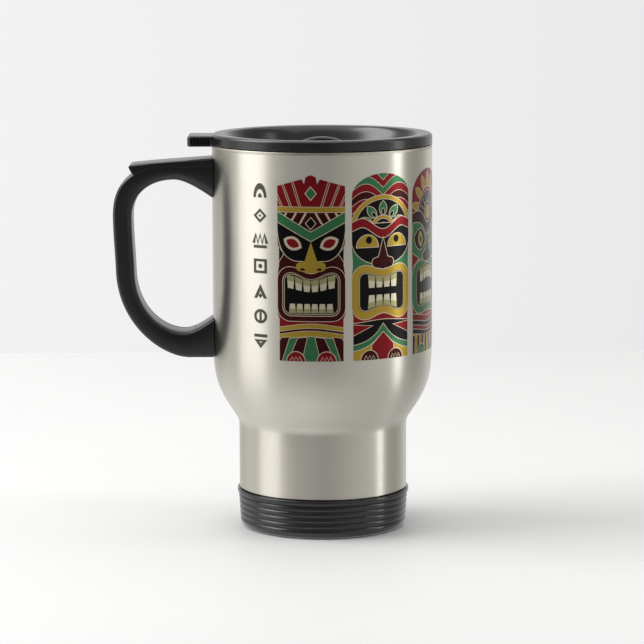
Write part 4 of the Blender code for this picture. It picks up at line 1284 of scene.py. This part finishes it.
def inkPiece(name, regions, middle, bottom):
    # bends flat regions round the body as one thin closed sheet of ink; middle is in degrees
    radius = steelBody["radius"]
    lower = radius - printBand["inkUnder"]
    upper = radius - printBand["inkOver"]
    points = []
    normals = []
    faces = []
    faceInks = []
    used = []
    for offsetAcross, offsetUp, (verts, kept) in regions:
        start = len(points)
        count = len(verts)
        for reach, sense in ((upper, 1.0), (lower, -1.0)):
            for x, y in verts:
                angle = math.radians(middle) + (x + offsetAcross) / radius
                away = (math.sin(angle), -math.cos(angle))
                points.append((reach * away[0], reach * away[1], bottom + offsetUp + y))
                normals.append((sense * away[0], sense * away[1], 0.0))
        borders = {}
        for triangle, ink in kept:
            if ink not in used:
                used.append(ink)
            a, b, c = triangle
            faces.append((start + a, start + b, start + c))
            faces.append((start + count + a, start + count + c, start + count + b))
            faceInks += [ink, ink]
            for i, j in ((a, b), (b, c), (c, a)):
                if (j, i) in borders:
                    del borders[(j, i)]
                else:
                    borders[(i, j)] = ink
        for (i, j), ink in borders.items():
            faces.append((start + i, start + count + i, start + count + j, start + j))
            faceInks.append(ink)
    mesh = bpy.data.meshes.new(name)
    mesh.from_pydata([tuple(c * mm for c in p) for p in points], [], faces)
    for ink in used:
        mesh.materials.append(inks[ink])
    mesh.polygons.foreach_set("material_index", [used.index(ink) for ink in faceInks])
    loopNormals = []
    for polygon in mesh.polygons:
        for vertex in polygon.vertices:
            flat = len(polygon.vertices) == 4
            loopNormals.append(tuple(polygon.normal) if flat else normals[vertex])
    mesh.shade_smooth()
    mesh.normals_split_custom_set(loopNormals)
    clean = bmesh.new()
    clean.from_mesh(mesh)
    loose = [v for v in clean.verts if not v.link_faces]
    bmesh.ops.delete(clean, geom=loose, context="VERTS")
    clean.to_mesh(mesh)
    clean.free()
    piece = bpy.data.objects.new(name, mesh)
    scene.collection.objects.link(piece)
    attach(piece, "mug")


def makePrint():
    fan = fanCrownPanel()
    rainbow = rainbowCrownPanel()
    petal = petalCrownPanel()
    warm = {"red": "yellow", "yellow": "green", "green": "red"}
    cool = {"red": "green", "green": "yellow", "yellow": "red"}
    panels = (fan, rainbow, petal, recoloured(fan, cool), recoloured(rainbow, warm),
              recoloured(petal, cool))
    for i, art in enumerate(panels):
        middle = printBand["firstPanel"] + i * printBand["panelPitch"]
        inkPiece(f"printedPanel{i + 1}", [(0.0, 0.0, flatRegions(art))], middle, printBand["bottom"])
    wide, high = printBand["motifSize"]
    ground = [(-wide, -high), (wide, -high), (wide, high), (-wide, high)]
    regions = []
    for i, mark in enumerate(motifs()):
        rise = printBand["motifTop"] - printBand["bottom"] - i * printBand["motifPitch"]
        regions.append((0.0, rise, flatRegions([(None, ground)] + mark)))
    backColumn = 180.0 - printBand["motifColumn"]  # mirrored through the handle
    inkPiece("motifColumnFront", regions, printBand["motifColumn"], printBand["bottom"])
    inkPiece("motifColumnBack", regions, backColumn, printBand["bottom"])


makePrint()
print("print laid")


# stage, lamps and camera

studio = {
    "floorEdge": 0.45,        # far edge of the table, metres behind the mug
    "cameraPlace": (-0.0002, -1.1427, 0.2428),
    "cameraTilt": -8.085,
    "cameraRoll": -0.183,
    "focalLength": 164.1,
    "softbox": {"azimuth": -77.0, "distance": 0.80, "width": 0.50, "height": 1.10,
                "centre": 0.42, "glow": 1.02},
    "strip": {"azimuth": 84.0, "distance": 0.85, "width": 0.15, "height": 1.10,
              "centre": 0.42, "glow": 2.9},
    "window": {"place": (-0.76, 0.10, 0.95), "size": 0.74, "glow": 5.7},
    "key": {"place": (-1.35, -0.05, 0.90), "size": 1.20, "glow": 4.15},
    "overhead": {"place": (0.0, 0.08, 1.20), "size": 1.3, "glow": 1.3},
}
# brightness of the room by direction: 0 is towards the camera, positive to the right
roomByAzimuth = {
    -180: 0.86, -172: 0.90, -145: 0.48, -118: 0.75, -106: 0.55, -60: 0.42, -48: 0.22, -34: 0.07,
    4: 0.05, 16: 0.20, 30: 0.40, 52: 0.66, 70: 0.70, 96: 0.46, 112: 0.30, 128: 0.42,
    146: 0.80, 172: 0.81, 180: 0.86,
}


room = {
    "warmth": 0.26,           # the darker parts of the room are a little warmer
    "warmBelow": 0.8,
    "ceilingGlow": (0.30, 0.30, 0.30, 1.0),
    "ceilingFrom": 0.25,      # heights on the unit sphere of directions
    "ceilingTo": 0.75,
    "tableFrom": -0.08,
    "tableTo": -0.36,
    "tableSpan": (-0.3, 0.7),     # the table's glow falls from left to right
    "tableGlow": (0.95, 0.58),
}


def makeWorld():
    world = bpy.data.worlds.new("softStudio")
    scene.world = world
    world.use_nodes = True
    tree = world.node_tree
    background = tree.nodes["Background"]
    direction = addNode(tree, "ShaderNodeTexCoord").outputs["Generated"]
    split = addNode(tree, "ShaderNodeSeparateXYZ", inputs={"Vector": direction})
    towards = addNode(tree, "ShaderNodeMath", {"operation": "MULTIPLY"},
                      {0: split.outputs["Y"], 1: -1.0})
    angle = addNode(tree, "ShaderNodeMath", {"operation": "ARCTAN2"},
                    {0: split.outputs["X"], 1: towards.outputs[0]})
    share = addNode(tree, "ShaderNodeMath", {"operation": "MULTIPLY_ADD"},
                    {0: angle.outputs[0], 1: 1.0 / math.tau, 2: 0.5})
    ramp = addNode(tree, "ShaderNodeValToRGB", inputs={"Fac": share.outputs[0]})
    stops = ramp.color_ramp.elements
    for azimuth, glow in roomByAzimuth.items():
        position = azimuth / 360 + 0.5
        if azimuth in (-180, 180):
            stop = stops[0 if azimuth < 0 else len(stops) - 1]
        else:
            stop = stops.new(position)
        warmth = room["warmth"] * max(0.0, room["warmBelow"] - glow)
        stop.color = (glow, glow * (1.0 - warmth / 3), glow * (1.0 - warmth), 1.0)
    upper = addNode(tree, "ShaderNodeMapRange", {"interpolation_type": "SMOOTHSTEP"},
                    {"Value": split.outputs["Z"], 1: room["ceilingFrom"], 2: room["ceilingTo"]})
    lower = addNode(tree, "ShaderNodeMapRange", {"interpolation_type": "SMOOTHSTEP"},
                    {"Value": split.outputs["Z"], 1: room["tableFrom"], 2: room["tableTo"]})
    ceiling = addNode(tree, "ShaderNodeMix", colourMix, {
        "Factor": upper.outputs["Result"], 6: ramp.outputs["Color"], 7: room["ceilingGlow"]})
    left, right = room["tableSpan"]
    leftGlow, rightGlow = room["tableGlow"]
    rightwards = addNode(tree, "ShaderNodeMapRange", inputs={
        "Value": split.outputs["X"], 1: left, 2: right, 3: leftGlow, 4: rightGlow})
    table = addNode(tree, "ShaderNodeMix", colourMix, {
        "Factor": lower.outputs["Result"], 6: ceiling.outputs[2],
        7: rightwards.outputs["Result"]})
    setInputs(tree, background, {"Color": table.outputs[2]})


def addLamp(name, location, target, width, height, glow):
    # glow is the brightness of the lamp's face, so a bigger lamp gives more light
    lamp = bpy.data.lights.new(name, "AREA")
    lamp.shape = "RECTANGLE"
    lamp.size = width
    lamp.size_y = height
    lamp.energy = glow * math.pi * width * height
    holder = bpy.data.objects.new(name, lamp)
    holder.location = location
    holder.rotation_euler = (Vector(target) - Vector(location)).to_track_quat("-Z", "Y").to_euler()
    scene.collection.objects.link(holder)
    return holder


def addSideLamp(name, look):
    turn = math.radians(look["azimuth"])
    away = look["distance"]
    location = (away * math.sin(turn), -away * math.cos(turn), look["centre"])
    return addLamp(name, location, (0.0, 0.0, look["centre"]), look["width"], look["height"],
                   look["glow"])


def makeStage():
    mesh = bpy.data.meshes.new("floor")
    wide = 3.0
    edge = studio["floorEdge"]
    mesh.from_pydata([(-wide, -wide, 0.0), (wide, -wide, 0.0), (wide, edge, 0.0), (-wide, edge, 0.0)],
                     [], [(0, 1, 2, 3)])
    floor = bpy.data.objects.new("floor", mesh)
    scene.collection.objects.link(floor)
    material, tree, shader = startMaterial("palePaintedTable", {"Roughness": 0.55})
    # matt paint over a smooth board: hand-sized clouds only just show
    position = addNode(tree, "ShaderNodeTexCoord").outputs["Object"]
    cloud = addNode(tree, "ShaderNodeTexNoise", inputs={
        "Vector": position, "Scale": 6.0, "Detail": 3.0})
    colour = addNode(tree, "ShaderNodeMix", colourMix, {
        "Factor": cloud.outputs["Fac"], 6: linearColour("#f1f1f1"), 7: linearColour("#f8f8f7")})
    setInputs(tree, shader, {"Base Color": colour.outputs[2]})
    mesh.materials.append(material)
    floor.visible_glossy = False


def makeCamera():
    lens = bpy.data.cameras.new("camera")
    lens.lens = studio["focalLength"]
    lens.sensor_width = 36.0
    lens.clip_start = 0.05
    camera = bpy.data.objects.new("camera", lens)
    camera.location = studio["cameraPlace"]
    level = Euler((math.radians(90.0 + studio["cameraTilt"]), 0.0, 0.0)).to_matrix()
    roll = Matrix.Rotation(math.radians(studio["cameraRoll"]), 3, "Z")
    camera.rotation_euler = (level @ roll).to_euler()
    scene.collection.objects.link(camera)
    scene.camera = camera


makeWorld()
addSideLamp("softboxLeft", studio["softbox"]).visible_diffuse = False
addSideLamp("stripRight", studio["strip"])
# the window shows in shiny surfaces only, and the key lights the table but shows in nothing
for name in ("window", "key", "overhead"):
    look = studio[name]
    lamp = addLamp(name, look["place"], (0.0, 0.0, 0.05), look["size"], look["size"], look["glow"])
    lamp.visible_diffuse = name != "window"
    lamp.visible_glossy = name != "key"
makeStage()
makeCamera()
scene.view_settings.view_transform = "Standard"
print("stage made")
